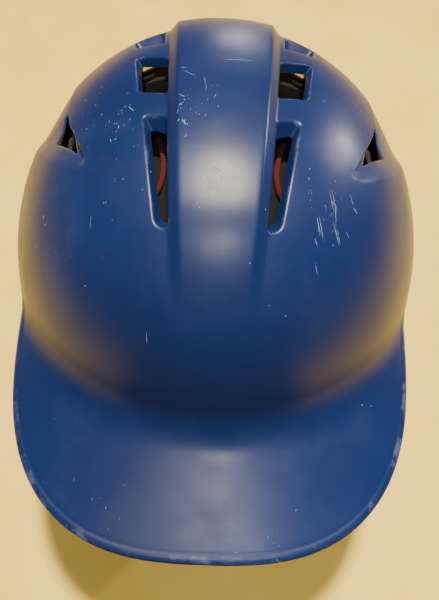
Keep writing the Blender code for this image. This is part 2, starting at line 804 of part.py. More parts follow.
def build_tabs(look):
    """Build the hook-and-loop tabs behind every comfort pad."""
    brow = float(rho_at_height(ROOT_FRONT_Z + 5.0)) - 17
    for side, sign in (("left", 1), ("right", -1)):
        spots = {
            "brow": polar(math.radians(28 * sign), brow),
            "temple": polar(math.radians(97 * sign), 163.0),
            "nape": polar(math.radians(180 - 20 * sign), 198.0),
        }
        for place_name, spot in spots.items():
            tab(f"{side}_{place_name}_hook_tab", spot, TAB_OUT, TAB_IN, look)
        for level, angle in (("front", 150), ("rear", 30)):
            turn = math.radians(angle)
            reach = EAR_RADIUS + 8.5
            spot = from_side(EAR_CENTRE[0] + reach * math.cos(turn),
                             EAR_CENTRE[1] + reach * math.sin(turn))
            spot = spot * np.array([sign, 1.0])
            tab(f"{side}_ear_{level}_hook_tab", spot, WALL + GAP, WALL + 2.0, look, 5.5)
        spot = from_plan(np.array(46.0 * sign), np.array(60.0))
        tab(f"{side}_crown_hook_tab", spot, TAB_OUT, TAB_IN, look, 5.5)


def main():
    """Clear the scene and build the helmet."""
    for item in list(bpy.data.objects):
        bpy.data.objects.remove(item, do_unlink=True)
    build_shell(material("shell_blue", ROYAL_BLUE, 0.38))
    build_liner(material("foam_yellow", FOAM_YELLOW, 0.85),
                material("foam_charcoal", FOAM_CHARCOAL, 0.85))
    build_pads(material("pad_fabric", PAD_CHARCOAL, 0.92),
               material("piping_red", PIPING_RED, 0.75))
    build_tabs(material("hook_black", TAB_BLACK, 0.9))


main()
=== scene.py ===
"""Looks of the batting helmet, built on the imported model.

The map functions repeat part.py's: a map point (p, q) lies at the distance hypot(p, q)
from the crown, down the meridian at the angle theta, 0 at the front. They work in
millimetres, and meshes are made in metres.
"""
import math

import bpy
import numpy as np
from mathutils import Matrix, Vector
from mathutils.bvhtree import BVHTree
from mathutils.geometry import delaunay_2d_cdt
from mathutils.kdtree import KDTree


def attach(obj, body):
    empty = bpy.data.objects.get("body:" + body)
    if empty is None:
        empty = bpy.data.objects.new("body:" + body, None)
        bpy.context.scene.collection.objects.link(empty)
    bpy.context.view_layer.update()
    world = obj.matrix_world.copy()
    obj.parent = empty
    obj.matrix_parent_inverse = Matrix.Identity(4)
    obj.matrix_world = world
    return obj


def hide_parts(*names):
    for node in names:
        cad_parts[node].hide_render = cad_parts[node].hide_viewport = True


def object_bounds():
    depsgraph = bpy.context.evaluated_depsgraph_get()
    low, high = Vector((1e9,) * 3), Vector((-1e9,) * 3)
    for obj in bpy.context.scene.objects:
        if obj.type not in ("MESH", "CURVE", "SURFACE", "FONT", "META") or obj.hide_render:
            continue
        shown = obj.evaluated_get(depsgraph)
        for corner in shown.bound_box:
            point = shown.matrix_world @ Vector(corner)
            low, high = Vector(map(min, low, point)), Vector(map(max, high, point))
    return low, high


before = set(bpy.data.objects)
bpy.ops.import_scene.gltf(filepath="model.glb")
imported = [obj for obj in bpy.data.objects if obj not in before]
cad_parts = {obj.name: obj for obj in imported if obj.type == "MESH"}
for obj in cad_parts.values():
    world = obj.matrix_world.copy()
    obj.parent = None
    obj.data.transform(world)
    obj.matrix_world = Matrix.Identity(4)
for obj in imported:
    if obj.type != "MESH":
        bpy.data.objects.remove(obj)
CAD_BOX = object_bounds()

MM = 0.001

# Crown
HALF_WIDTH = 107.2
FRONT_LENGTH = 118.9
REAR_LENGTH = 122.1
PLAN_POWER = 2.05
EQUATOR_Z = 105.0
CROWN_RISE = 111.5
CROWN_FULLNESS = 0.10
SIDE_LEAN = 0.06
REAR_LEAN = 0.14
WALL = 3.5
QUARTER = CROWN_RISE * (1 + CROWN_FULLNESS) * math.pi / 2
LEAN_REACH = QUARTER * 2 / math.pi

# Raised centre rib
RIB_HEIGHT = 3.6
RIB_CHAMFER = 4.6
RIB_MID_HALF = 18.6
RIB_WIDENING = 0.058
RIB_FRONT = (-104.0, -52.0)

# Bill
BILL_HALF = 97.5
BILL_BACK_Y = -55.0
BILL_NOTCH_Y = 43.0
BILL_REACH = 114.5
BILL_POWER = 2.7
BILL_TIP_Z = 115.5
ROOT_FRONT_Z = 133.0
ROOT_SIDE_DROP = 8.0
ROOT_FILLET = 18.0

# Ear flaps, as (distance behind the side line, height, radius) on the unrolled side wall
UNROLL = 1.9
NOTCH_GAP = 1.5
FLAP_CORNERS = [
    (-38.0, 92.0, 30.0),
    (-38.0, 58.0, 30.0),
    (-46.0, 24.0, 22.0),
    (-37.0, 0.0, 16.0),
    (40.0, 0.0, 18.0),
    (54.0, 54.0, 32.0),
]
NAPE_Z = 58.0
EAR_CENTRE = (-3.0, 46.0)
EAR_RADIUS = 18.0

# Vents in plan, +X side: (front inner, front outer, rear outer, rear inner). A vent's wall
# slopes in from its lip to its hole, or is cut straight through the shell.
VENTS = {
    "front_slot": {
        "hole": [(20.4, -56.8), (23.8, -54.8), (31.3, -12.4), (23.5, -15.8)],
        "lip": [(19.5, -59.6), (24.7, -57.4), (32.9, -8.6), (22.8, -11.2)],
        "corner": 1.2,
        "depth": 5.5,
        "straight": False,
    },
    "square": {
        "hole": [(24.4, 4.2), (36.0, 7.8), (40.0, 34.0), (26.2, 28.2)],
        "lip": [(23.4, 2.8), (36.6, 6.4), (41.0, 35.4), (25.2, 29.0)],
        "corner": 0.8,
        "depth": 4.5,
        "straight": False,
    },
    "rear": {
        "hole": [(29.0, 46.5), (42.0, 50.0), (44.0, 62.5), (31.0, 65.5)],
        "lip": [(28.2, 45.2), (43.0, 48.6), (45.6, 64.0), (30.2, 67.5)],
        "corner": 1.2,
        "depth": 6.5,
        "straight": False,
    },
    "scoop": {
        "hole": [(66.0, -15.4), (84.0, 2.2), (85.8, 27.5), (77.3, 24.6), (73.2, 2.2)],
        "lip": [(64.2, -15.2), (79.2, 1.8), (80.3, 26.5), (75.2, 24.0), (71.4, 2.0)],
        "corner": 0.8,
        "depth": 9.0,
        "straight": True,
    },
}
VENT_WALL = 2.4

# Side scoop: its upper ledge and its front crest, as (theta, phi) in degrees
LEDGE = [(65.0, 34.3), (74.0, 35.2), (84.5, 37.4), (94.0, 40.5), (103.0, 43.4),
         (113.5, 47.0), (126.0, 52.5)]
CREST = [(65.0, 34.3), (67.0, 37.4), (73.0, 41.2), (80.0, 46.0), (86.5, 51.0),
         (94.0, 57.0), (103.0, 64.0)]
SCOOP_DEPTH = 7.0
SCOOP_STEP = 1.6
SCOOP_FADE = 52.0
CREST_SLOPE = 0.30
SCOOP_REAR = (100.0, 127.0)

# Foam liner and comfort pads, as depths inside the crown's outer surface
LINER_OUT = 4.0
LINER_IN = 15.0
VENT_RELIEF = 4.2
PAD_OUT = 17.9
PAD_IN = 25.5
TAB_OUT = 15.9
TAB_IN = 17.3
TAB_RADIUS = 9.0
CROWN_PAD_PLAN = [(20.0, -59.0), (34.0, -57.0), (46.0, -36.0), (55.0, -8.0), (57.0, 40.0),
                  (48.0, 66.0), (34.0, 66.0), (27.0, 40.0), (24.0, 0.0)]
PIPING_PLAN = [(37.0, 16.0), (32.5, -4.0), (29.0, -16.5), (27.5, -26.5), (29.5, -37.0),
               (37.0, -44.0), (44.0, -36.0)]
PIPING_RADIUS = 1.1

# Foam and fabric detail
FOAM_STEP = 4.5
FOAM_EDGE = 1.8
PAD_STEP = 4.0
PAD_VOXEL = 3.2
STITCH_PITCH = 3.4
SEAM_INSET = 7.0
SEAM_PITCH = 2.2
SWELL_LIMIT = 4.5
SWELL_FRAMES = 20

# Detail of the finished shell
SHELL_STEP = 3.2
EDGE_STEP = 2.6
EDGE_ROUND = 1.3
BEAD_ROWS = [(0.0, 0.05), (0.7, -0.12), (1.5, -0.20), (2.3, -0.12), (2.9, 0.03),
             (3.4, 0.08), (4.0, 0.02), (5.0, 0.0)]
FAINT_BEAD = 0.45
LIP_ROWS = [(1.5, 0.0), (0.7, 0.06)]
LIP_DROP = 0.45
WALL_ROWS = [0.08, 0.3, 0.55, 0.8, 1.0]
CREASE_ROUND = 0.10

# Scratches in the crown, in plan: (start, end, width, bow), +X is the wearer's left
SCRATCHES = [
    ((-1.1, 18.8), (12.0, 20.0), 0.45, 0.2), ((-18.4, 14.3), (-15.0, 13.2), 0.40, 0.0),
    ((-17.4, 12.1), (-11.4, 7.0), 0.30, 0.3), ((-18.1, -2.8), (-14.7, -4.8), 0.50, 0.0),
    ((-15.7, -16.3), (-13.9, -19.3), 1.00, 0.1), ((-16.0, -17.3), (-13.7, -16.9), 0.60, 0.0),
    ((-8.6, 8.8), (-6.9, -2.2), 0.25, 0.3), ((-2.9, -3.3), (-3.6, -5.5), 0.45, 0.0),
    ((-3.2, -37.4), (0.7, -39.6), 0.35, 0.1), ((-1.6, -39.7), (1.6, -42.7), 0.35, 0.1),
    ((-11.2, -55.4), (-1.9, -50.3), 0.28, 0.4), ((-10.6, -53.6), (-3.4, -48.9), 0.25, 0.3),
    ((-5.4, -46.7), (-0.6, -45.1), 0.25, 0.1), ((44.5, -37.1), (46.7, -46.0), 0.45, 0.1),
    ((45.4, -36.3), (48.1, -44.8), 0.40, 0.1), ((47.2, -41.9), (47.7, -50.3), 0.50, 0.1),
    ((46.3, -48.9), (49.3, -57.1), 0.55, 0.1), ((48.2, -50.9), (49.8, -56.6), 0.40, 0.0),
    ((39.3, -49.5), (40.8, -56.1), 0.60, 0.1), ((40.2, -48.8), (42.2, -57.5), 0.45, 0.1),
    ((38.7, -57.4), (39.7, -59.9), 0.45, 0.0), ((54.2, -35.0), (55.6, -39.0), 0.45, 0.0),
    ((55.6, -39.8), (57.5, -41.8), 0.70, 0.0), ((52.4, -50.9), (53.8, -52.6), 0.40, 0.0),
    ((-46.3, -17.0), (-45.6, -19.2), 0.60, 0.0), ((-40.2, -1.3), (-37.2, -5.2), 0.70, 0.0),
    ((-51.5, -49.3), (-51.6, -54.1), 0.35, 0.0), ((-76.5, -37.8), (-75.7, -39.9), 0.70, 0.0),
    ((-26.8, -90.8), (-26.4, -94.7), 0.35, 0.0), ((39.1, -65.6), (40.7, -70.1), 0.30, 0.0),
]
# Patches of random nicks: (centre in plan, spread, count, length, width, angle, seed)
SCUFF_PATCHES = [
    ((-42.0, -8.0), (4.5, 7.0), 20, 1.4, 0.42, 20.0, 3),
    ((-16.0, -10.0), (2.0, 8.0), 14, 1.4, 0.40, 35.0, 4),
    ((-7.0, -6.0), (6.0, 10.0), 16, 1.0, 0.34, 0.0, 5),
    ((-2.0, -44.0), (6.0, 7.0), 20, 1.1, 0.26, 60.0, 6),
    ((47.0, -46.0), (4.0, 7.0), 18, 1.8, 0.30, 8.0, 7),
    ((-38.0, -36.0), (6.0, 9.0), 10, 1.1, 0.36, 10.0, 8),
    ((36.5, -42.0), (1.2, 5.0), 7, 1.2, 0.36, 0.0, 9),
    ((-60.0, 8.0), (9.0, 14.0), 14, 1.0, 0.30, 40.0, 10),
    ((58.0, 20.0), (9.0, 16.0), 14, 1.0, 0.30, -30.0, 11),
    ((0.0, 92.0), (34.0, 12.0), 26, 1.6, 0.34, 80.0, 12),
]
# The same on the bill, with the centre on the map
BILL_PATCHES = [
    ((-10.0, -222.0), (26.0, 6.0), 16, 1.2, 0.34, 80.0, 13),
    ((34.0, -205.0), (8.0, 6.0), 9, 1.0, 0.34, 50.0, 14),
    ((-62.0, -190.0), (10.0, 10.0), 9, 1.4, 0.30, 20.0, 15),
]

# Camera, in the helmet's frame
CAMERA_PLACE = (-0.975, -176.73, 387.83)
CAMERA_DOWN = 59.73
CAMERA_TURN = 1.37
CAMERA_ROLL = 3.56
CAMERA_LENS = 35.69

# Floor, flag and lamps, in metres: a lamp is (place, size, power, colour)
FLOOR_SIZE = 12.0
FLAG_NEAR = (0.13, -0.15)
FLAG_FAR = (0.40, -0.50)
FLAG_LIFT = 0.002
FLAG_TOP = 0.5
LAMP_TARGET = (0.0, 0.0, 0.12)
LAMPS = {
    "main": ((0.03, 0.14, 1.5), 0.12, 47.0, (1.0, 0.88, 0.62)),
    "bill": ((0.04, -0.86, 1.5), 0.16, 10.5, (1.0, 0.92, 0.84)),
    "side": ((1.55, 1.20, 0.95), 0.06, 17.0, (1.0, 0.90, 0.82)),
    "rear": ((0.15, 2.40, 0.55), 0.30, 6.0, (1.0, 0.88, 0.86)),
}

LENGTH_SHIFT = BILL_REACH - BILL_BACK_Y + CAD_BOX[0][1] / MM


def smooth_step(value, low, high):
    """Go from 0 at low to 1 at high."""
    t = np.clip((value - low) / (high - low), 0.0, 1.0)
    return t * t * (3 - 2 * t)


def soft_ramp(value, ease):
    """Clamp to 0..1 with both corners rounded over a stretch of twice ease."""
    start = np.clip((value + ease) / (2 * ease), 0, 1) ** 2 * ease
    start = np.where(value > ease, value, start)
    over = start - 1
    end = np.clip((over + ease) / (2 * ease), 0, 1) ** 2 * ease
    end = np.where(over > ease, over, end)
    return start - end


# ------------------------------------------------------------------ crown surface

def plan_radius(theta):
    """Give the crown's radius at its widest level in the direction theta."""
    length = np.where(np.cos(theta) > 0, FRONT_LENGTH, REAR_LENGTH)
    side = np.abs(np.sin(theta) / HALF_WIDTH) ** PLAN_POWER
    ahead = np.abs(np.cos(theta) / length) ** PLAN_POWER
    return (side + ahead) ** (-1 / PLAN_POWER)


def crown_profile(theta, rho):
    """Give the radius and height of the plain crown at the distance rho down a meridian."""
    phi = np.minimum(rho / QUARTER, 1.0) * math.pi / 2
    drop = np.maximum(rho - QUARTER, 0.0)
    lean = SIDE_LEAN + (REAR_LEAN - SIDE_LEAN) * np.clip(-np.cos(theta), 0, 1) ** 2
    tuck = 1 - lean * (1 - np.exp(-drop ** 2 / (2 * lean * LEAN_REACH ** 2)))
    radius = plan_radius(theta) * np.sin(phi) * tuck
    rise = CROWN_RISE * np.cos(phi) * (1 + CROWN_FULLNESS * np.sin(phi) ** 2)
    return radius, EQUATOR_Z + rise - drop


def rho_at_height(z):
    """Give the distance down the meridian at which the crown reaches the height z."""
    rho = np.linspace(0, QUARTER * 1.8, 400)
    heights = crown_profile(np.zeros(400), rho)[1]
    return np.interp(-z, -heights, rho)


def polar(theta, rho):
    """Give the map point at an angle and a distance."""
    return np.stack([rho * np.sin(theta), -rho * np.cos(theta)], axis=-1)


def from_plan(x, y):
    """Give the map point above a plan point of the upper crown."""
    theta = np.arctan2(x, -y)
    phi = np.arcsin(np.minimum(np.hypot(x, y) / plan_radius(theta), 1.0))
    return polar(theta, phi * QUARTER * 2 / math.pi)


def from_side(along, z):
    """Give the map point of a place on the unrolled +X side wall."""
    theta = np.radians(90 + np.asarray(along) / UNROLL)
    return polar(theta, QUARTER + EQUATOR_Z - np.asarray(z))


# ------------------------------------------------------------------ bill surface

def bill_edge(theta):
    """Give the plan radius of the bill's edge in the direction theta."""
    t = np.linspace(0, math.pi / 2, 400)
    x = BILL_HALF * np.sin(t) ** (2 / BILL_POWER)
    y = -BILL_BACK_Y + BILL_REACH * np.cos(t) ** (2 / BILL_POWER)
    x = np.append(x, BILL_HALF)
    y = np.append(y, 20.0)
    return np.interp(np.abs(theta), np.arctan2(x, y), np.hypot(x, y))


def root_height(theta):
    """Give the height at which the bill's line meets the crown."""
    return ROOT_FRONT_Z - ROOT_SIDE_DROP * (theta / math.radians(64)) ** 2


def bill_edge_height(theta):
    """Give the height of the bill's edge, which rises to meet the crown at the notch."""
    tip = BILL_REACH - BILL_BACK_Y
    reach = bill_edge(theta) * np.cos(theta)
    back = np.clip((tip - reach) / (tip - BILL_NOTCH_Y), 0, 1)
    return BILL_TIP_Z + (root_height(theta) - BILL_TIP_Z) * back ** 4


def bill_lines(theta):
    """Give the fillet start, corner, fillet end and edge of the bill on a meridian."""
    rho_root = rho_at_height(root_height(theta))
    root = np.stack(crown_profile(theta, rho_root), axis=-1)
    edge = np.stack([bill_edge(theta), bill_edge_height(theta)], axis=-1)
    width = np.maximum(np.linalg.norm(edge - root, axis=-1), 0.05)
    reach = width * ROOT_FILLET / (width + ROOT_FILLET)
    start_rho = rho_root - reach
    start = np.stack(crown_profile(theta, start_rho), axis=-1)
    below = np.stack(crown_profile(theta, start_rho + 0.1), axis=-1)
    corner = start + (below - start) / 0.1 * reach[..., None]
    line = edge - corner
    line = line / np.maximum(np.linalg.norm(line, axis=-1), 1e-6)[..., None]
    end = corner + line * reach[..., None]
    return start_rho, reach, start, corner, end, edge


def bill_rho(theta):
    """Give the map distance of the bill's edge in the direction theta."""
    start_rho, reach, start, corner, end, edge = bill_lines(theta)
    return start_rho + 1.6 * reach + np.linalg.norm(edge - end, axis=-1)


def bill_profile(theta, rho):
    """Give radius and height on a meridian that turns out into the bill."""
    start_rho, reach, start, corner, end, edge = bill_lines(theta)
    radius, z = crown_profile(theta, np.minimum(rho, start_rho))
    t = np.clip((rho - start_rho) / (1.6 * reach), 0, 1)[..., None]
    turn = (1 - t) ** 2 * start + 2 * t * (1 - t) * corner + t ** 2 * end
    span = np.maximum(np.linalg.norm(edge - end, axis=-1), 1e-6)
    out = np.clip(rho - start_rho - 1.6 * reach, 0, span + 1.0) / span
    point = turn + (edge - end) * out[..., None]
    on_bill = rho > start_rho
    return np.where(on_bill, point[..., 0], radius), np.where(on_bill, point[..., 1], z)


def find_notch():
    """Find the angle at which the bill's edge runs into the crown."""
    theta = np.radians(np.linspace(50, 75, 501))
    crown = crown_profile(theta, rho_at_height(root_height(theta)))[0]
    return float(theta[np.argmax(bill_edge(theta) <= crown)])


NOTCH = find_notch()


def is_bill(p, q):
    """Tell which map points lie on the bill's side of the notch."""
    theta = np.abs(np.arctan2(p, -q))
    return (theta < NOTCH) & (np.hypot(p, q) < bill_rho(np.minimum(theta, NOTCH)) + 1.0)


def place(p, q, bill):
    """Give the plain outer surface at map points, on the bill where bill is true."""
    rho = np.hypot(p, q)
    theta = np.arctan2(p, -q)
    radius, z = crown_profile(theta, rho)
    bill_r, bill_z = bill_profile(np.clip(theta, -NOTCH, NOTCH), rho)
    radius = np.where(bill, bill_r, radius)
    z = np.where(bill, bill_z, z)
    return np.stack([radius * np.sin(theta), -radius * np.cos(theta), z], axis=-1)


def slopes(p, q, bill, step=0.4):
    """Give how the surface point moves with p and with q."""
    along_p = place(p + step, q, bill) - place(p - step, q, bill)
    along_q = place(p, q + step, bill) - place(p, q - step, bill)
    return along_p / (2 * step), along_q / (2 * step)


def unit(vectors):
    """Scale vectors to length one."""
    return vectors / np.maximum(np.linalg.norm(vectors, axis=-1), 1e-9)[..., None]


def skin(p, q, inset, with_bill=True):
    """Give the points at a depth inside the plain outer surface."""
    bill = is_bill(p, q) & with_bill
    along_p, along_q = slopes(p, q, bill)
    normal = unit(np.cross(along_p, along_q))
    return place(p, q, bill) - normal * np.asarray(inset)[..., None]


# ------------------------------------------------------------------ relief

def polyline_distance(p, q, line):
    """Give each point's distance to a polyline and the side of it that it lies on."""
    best = np.full(np.shape(p), 1e9)
    side = np.zeros(np.shape(p))
    for (ax, ay), (bx, by) in zip(line[:-1], line[1:]):
        dx, dy = bx - ax, by - ay
        t = np.clip(((p - ax) * dx + (q - ay) * dy) / (dx * dx + dy * dy), 0, 1)
        gap = np.hypot(p - ax - t * dx, q - ay - t * dy)
        nearer = gap < best - 1e-9
        best = np.where(nearer, gap, best)
        side = np.where(nearer, np.sign(dx * (q - ay) - dy * (p - ax)), side)
    return best, side


def smooth_line(points, count):
    """Draw a smooth curve through points given as angles in degrees, on the map."""
    points = np.array(points, dtype=float)
    padded = np.vstack([2 * points[0] - points[1], points, 2 * points[-1] - points[-2]])
    curve = []
    for a, b, c, d in zip(padded[:-3], padded[1:-2], padded[2:-1], padded[3:]):
        for t in np.arange(count) / count:
            curve.append(0.5 * (2 * b + (c - a) * t + (2 * a - 5 * b + 4 * c - d) * t ** 2
                                + (3 * b - a - 3 * c + d) * t ** 3))
    curve.append(points[-1])
    curve = np.array(curve)
    return polar(np.radians(curve[:, 0]), curve[:, 1] / 90 * QUARTER)


LEDGE_LINE = smooth_line(LEDGE, 6)
CREST_LINE = smooth_line(CREST, 6)


def rib_half(q):
    """Give half the rib's flat width, in plan, at the map distance q."""
    return RIB_MID_HALF + RIB_WIDENING * q


def rib_map(q, extra):
    """Give the map distance sideways at which the rib's edge lies, extra mm out."""
    target = rib_half(q) + extra
    p = target.copy()
    for _ in range(8):
        rho = np.hypot(p, q)
        radius = crown_profile(np.arctan2(p, -q), rho)[0]
        p = target * rho / np.maximum(radius, 1e-6)
    return p


def relief(p, q):
    """Give the height of the rib and the scoops above the plain outer surface."""
    p = np.abs(p)
    rho = np.hypot(p, q)
    x = p * crown_profile(np.arctan2(p, -q), rho)[0] / np.maximum(rho, 1e-6)
    rib = 1 - soft_ramp((x - rib_half(q)) / RIB_CHAMFER, CREASE_ROUND)
    rib = rib * RIB_HEIGHT * smooth_step(q, *RIB_FRONT)
    to_ledge, ledge_side = polyline_distance(p, q, LEDGE_LINE)
    to_crest, crest_side = polyline_distance(p, q, CREST_LINE)
    theta = np.degrees(np.arctan2(p, -q))
    past_ledge = -ledge_side * to_ledge
    past_crest = crest_side * to_crest
    fade = 1 - smooth_step(theta, *SCOOP_REAR)
    deep = SCOOP_DEPTH * np.clip(1 - past_ledge / SCOOP_FADE, 0, 1)
    deep = deep * soft_ramp(past_ledge / SCOOP_STEP, 0.3)
    facet = 40 * CREST_SLOPE * soft_ramp(past_crest / 40, 0.025)
    blend = 1.2
    low = np.minimum(deep, facet)
    close = np.clip(blend - np.abs(deep - facet), 0, blend)
    depth = np.maximum(low - close ** 2 / (4 * blend), 0)
    inside = (past_ledge > -0.6) & (past_crest > -1.2)
    return rib - np.where(inside, depth * fade, 0)


# ------------------------------------------------------------------ outlines

def rounded(corners, arc_steps=4, closed=True):
    """Replace each corner (x, y, radius) of a path by an arc-like curve."""
    points = []
    count = len(corners)
    for i, (x, y, radius) in enumerate(corners):
        here = np.array([x, y])
        if not closed and i in (0, count - 1):
            points.append(here)
            continue
        before = np.array(corners[i - 1][:2]) - here
        after = np.array(corners[(i + 1) % count][:2]) - here
        cut_a = min(radius, np.linalg.norm(before) * 0.48)
        cut_b = min(radius, np.linalg.norm(after) * 0.48)
        first = here + before / np.linalg.norm(before) * cut_a
        last = here + after / np.linalg.norm(after) * cut_b
        for t in np.linspace(0, 1, arc_steps + 1):
            points.append((1 - t) ** 2 * first + 2 * t * (1 - t) * here + t ** 2 * last)
    return np.array(points)


def divide(points, step, closed=True):
    """Split long edges of a path so that none is much longer than step."""
    out = []
    ends = np.roll(points, -1, axis=0) if closed else points[1:]
    for a, b in zip(points, ends):
        parts = max(1, round(float(np.linalg.norm(b - a)) / step))
        for i in range(parts):
            out.append(a + (b - a) * i / parts)
    if not closed:
        out.append(points[-1])
    return np.array(out)


def grown(loop, amount):
    """Offset a closed loop outwards by an amount, on the map."""
    before = unit(loop - np.roll(loop, 1, axis=0))
    after = unit(np.roll(loop, -1, axis=0) - loop)
    turn = unit(before + after)
    normal = np.stack([turn[:, 1], -turn[:, 0]], axis=1) * np.sign(map_area(loop))
    return loop + amount * normal


def inset_loop(loop, distance):
    """Move an anticlockwise loop towards its left by a distance along the surface."""
    bill = is_bill(loop[:, 0], loop[:, 1])
    along_p, along_q = slopes(loop[:, 0], loop[:, 1], bill)
    run = np.roll(loop, -1, axis=0) - np.roll(loop, 1, axis=0)
    tangent = along_p * run[:, :1] + along_q * run[:, 1:]
    side = unit(np.cross(unit(np.cross(along_p, along_q)), tangent))
    a, b, c = (np.sum(u * v, axis=1) for u, v in
               ((along_p, along_p), (along_p, along_q), (along_q, along_q)))
    r, s = np.sum(along_p * side, axis=1), np.sum(along_q * side, axis=1)
    det = a * c - b * b
    return loop + distance * np.stack([c * r - b * s, a * s - b * r], axis=1) / det[:, None]


def map_area(loop):
    """Give a loop's signed area, positive when it runs anticlockwise."""
    after = np.roll(loop, -1, axis=0)
    return np.sum(loop[:, 0] * after[:, 1] - after[:, 0] * loop[:, 1]) / 2


def signed(loop):
    """Give a loop's points in the anticlockwise direction."""
    return loop if map_area(loop) > 0 else loop[::-1]


def mirrored(loop):
    """Mirror a loop to the -X side, keeping its direction."""
    return (loop * np.array([-1.0, 1.0]))[::-1]


def ring(loop):
    """Close a loop into a polyline."""
    return np.vstack([loop, loop[:1]])


def vent_loops(kind, steps=4, step=2.2):
    """Give a vent's hole loop and lip loop on the map, +X side, point for point."""
    loops = []
    counts = None
    for key in ("hole", "lip"):
        corners = [(x, y, VENTS[kind]["corner"] * 2) for x, y in VENTS[kind][key]]
        path = rounded(corners, steps)
        sides = np.roll(path, -1, axis=0) - path
        if counts is None:
            counts = np.maximum(1, np.round(np.linalg.norm(sides, axis=1) / step)).astype(int)
        points = [path[i] + sides[i] * k / counts[i]
                  for i in range(len(path)) for k in range(counts[i])]
        points = np.array(points)
        loops.append(from_plan(points[:, 0], points[:, 1]))
    return loops


def ear_loop(radius, count=72):
    """Give a round loop about the ear opening on the map, +X side."""
    turn = np.arange(count) / count * 2 * math.pi
    return from_side(EAR_CENTRE[0] + radius * np.cos(turn), EAR_CENTRE[1] + radius * np.sin(turn))


def rim_loop():
    """Give the closed outline of the shell on the map."""
    theta = np.linspace(0, NOTCH - math.radians(NOTCH_GAP), 70)
    front = polar(theta, bill_rho(theta))
    corners = [((math.degrees(NOTCH) - 90) * UNROLL, float(root_height(NOTCH)) - 1.0, 0.0)]
    corners += FLAP_CORNERS
    corners += [(90 * UNROLL * 0.62, NAPE_Z, 30.0), (90 * UNROLL, NAPE_Z, 0.0)]
    flap = divide(rounded(corners, 10, closed=False), EDGE_STEP, closed=False)
    flap = from_side(flap[:, 0], flap[:, 1])
    half = np.vstack([front, flap])
    left = (half * np.array([-1.0, 1.0]))[::-1][1:-1]
    return np.vstack([half, left])


# ------------------------------------------------------------------ meshes

def within(points, loop):
    """Tell which points lie inside a closed loop."""
    x, y = points[:, 0], points[:, 1]
    inside = np.zeros(len(points), dtype=bool)
    for (ax, ay), (bx, by) in zip(loop, np.roll(loop, -1, axis=0)):
        crosses = (ay > y) != (by > y)
        slope = (bx - ax) / (by - ay if by != ay else 1e-12)
        inside ^= crosses & (x < ax + (y - ay) * slope)
    return inside


def fill_points(outline, holes, lines, step):
    """Spread an even grid of points inside an outline, clear of every given line."""
    low, high = outline.min(axis=0), outline.max(axis=0)
    grid = []
    for i, q in enumerate(np.arange(low[1], high[1], step * 0.866)):
        p = np.arange(0, max(high[0], -low[0]), step) + (i % 2) * step / 2
        row = np.concatenate([-p[::-1], p])
        grid.append(np.stack([row, np.full(len(row), q)], axis=1))
    grid = np.unique(np.vstack(grid).round(6), axis=0)
    grid = grid[within(grid, outline)]
    for hole in holes:
        grid = grid[~within(grid, hole)]
    for line in lines:
        low, high = line.min(axis=0) - step, line.max(axis=0) + step
        near = np.all((grid > low) & (grid < high), axis=1)
        keep = np.ones(len(grid), dtype=bool)
        spots = grid[near]
        keep[near] = polyline_distance(spots[:, 0], spots[:, 1], line)[0] > step * 0.55
        grid = grid[keep]
    return grid


def triangulate(outline, holes, rings, creases, step):
    """Triangulate an outline with holes, known rings and crease lines.

    It gives the map points, the triangles, and the point numbers of the outline, of each
    hole and of each ring.
    """
    loops = [outline] + holes + rings
    inner = fill_points(outline, holes, [ring(loop) for loop in loops] + creases, step)
    points = np.vstack(loops + creases + [inner])
    edges, starts, start = [], [], 0
    for loop in loops:
        edges += [(start + i, start + (i + 1) % len(loop)) for i in range(len(loop))]
        starts.append(start)
        start += len(loop)
    for line in creases:
        edges += [(start + i, start + i + 1) for i in range(len(line) - 1)]
        start += len(line)
    result = delaunay_2d_cdt([Vector(point) for point in points], edges, [], 1, 1e-5)
    flat = np.array([tuple(v) for v in result[0]])
    triangles = np.array(result[2])
    middle = flat[triangles].mean(axis=1)
    for hole in holes:
        keep = ~within(middle, hole)
        triangles, middle = triangles[keep], middle[keep]
    a, b, c = (flat[triangles[:, i]] for i in range(3))
    turned = np.cross(b - a, c - a) < 0
    triangles[turned] = triangles[turned][:, ::-1]
    order = {source: new for new, sources in enumerate(result[3]) for source in sources}
    numbers = [np.array([order[first + i] for i in range(len(loop))])
               for first, loop in zip(starts, loops)]
    return flat, triangles, numbers


def make_object(name, points, faces, look, smooth=True):
    """Make an object of points in the map functions' millimetres."""
    mesh = bpy.data.meshes.new(name)
    moved = (np.asarray(points) + np.array([0.0, LENGTH_SHIFT, 0.0])) * MM
    mesh.from_pydata(moved.tolist(), [], [[int(i) for i in face] for face in faces])
    mesh.materials.append(look)
    mesh.validate()
    mesh.polygons.foreach_set("use_smooth", [smooth] * len(mesh.polygons))
    item = bpy.data.objects.new(name, mesh)
    bpy.context.scene.collection.objects.link(item)
    return item


class Body:
    """Points and faces of a closed body that is sewn together from sheets and rows."""

    def __init__(self):
        self.points, self.faces, self.count = [], [], 0

    def add(self, points):
        """Add points and give their first number."""
        first = self.count
        self.points.append(np.asarray(points))
        self.count += len(points)
        return first

    def sheet(self, points, triangles, flip=False):
        """Add a sheet of triangles and give its first point number."""
        first = self.add(points)
        order = triangles[:, ::-1] if flip else triangles
        self.faces += [tuple(face) for face in order + first]
        return first

    def sew(self, upper, lower, flip=False):
        """Join two closed rows of the same length by quads."""
        for i in range(len(upper)):
            j = (i + 1) % len(upper)
            quad = (upper[i], lower[i], lower[j], upper[j])
            self.faces.append(quad[::-1] if flip else quad)

    def rows(self, upper, lower, points_between, flip=False):
        """Join two rows through rows of new points."""
        last = upper
        for points in points_between:
            first = self.add(points)
            here = np.arange(first, first + len(points))
            self.sew(last, here, flip)
            last = here
        self.sew(last, lower, flip)


# ------------------------------------------------------------------ shell

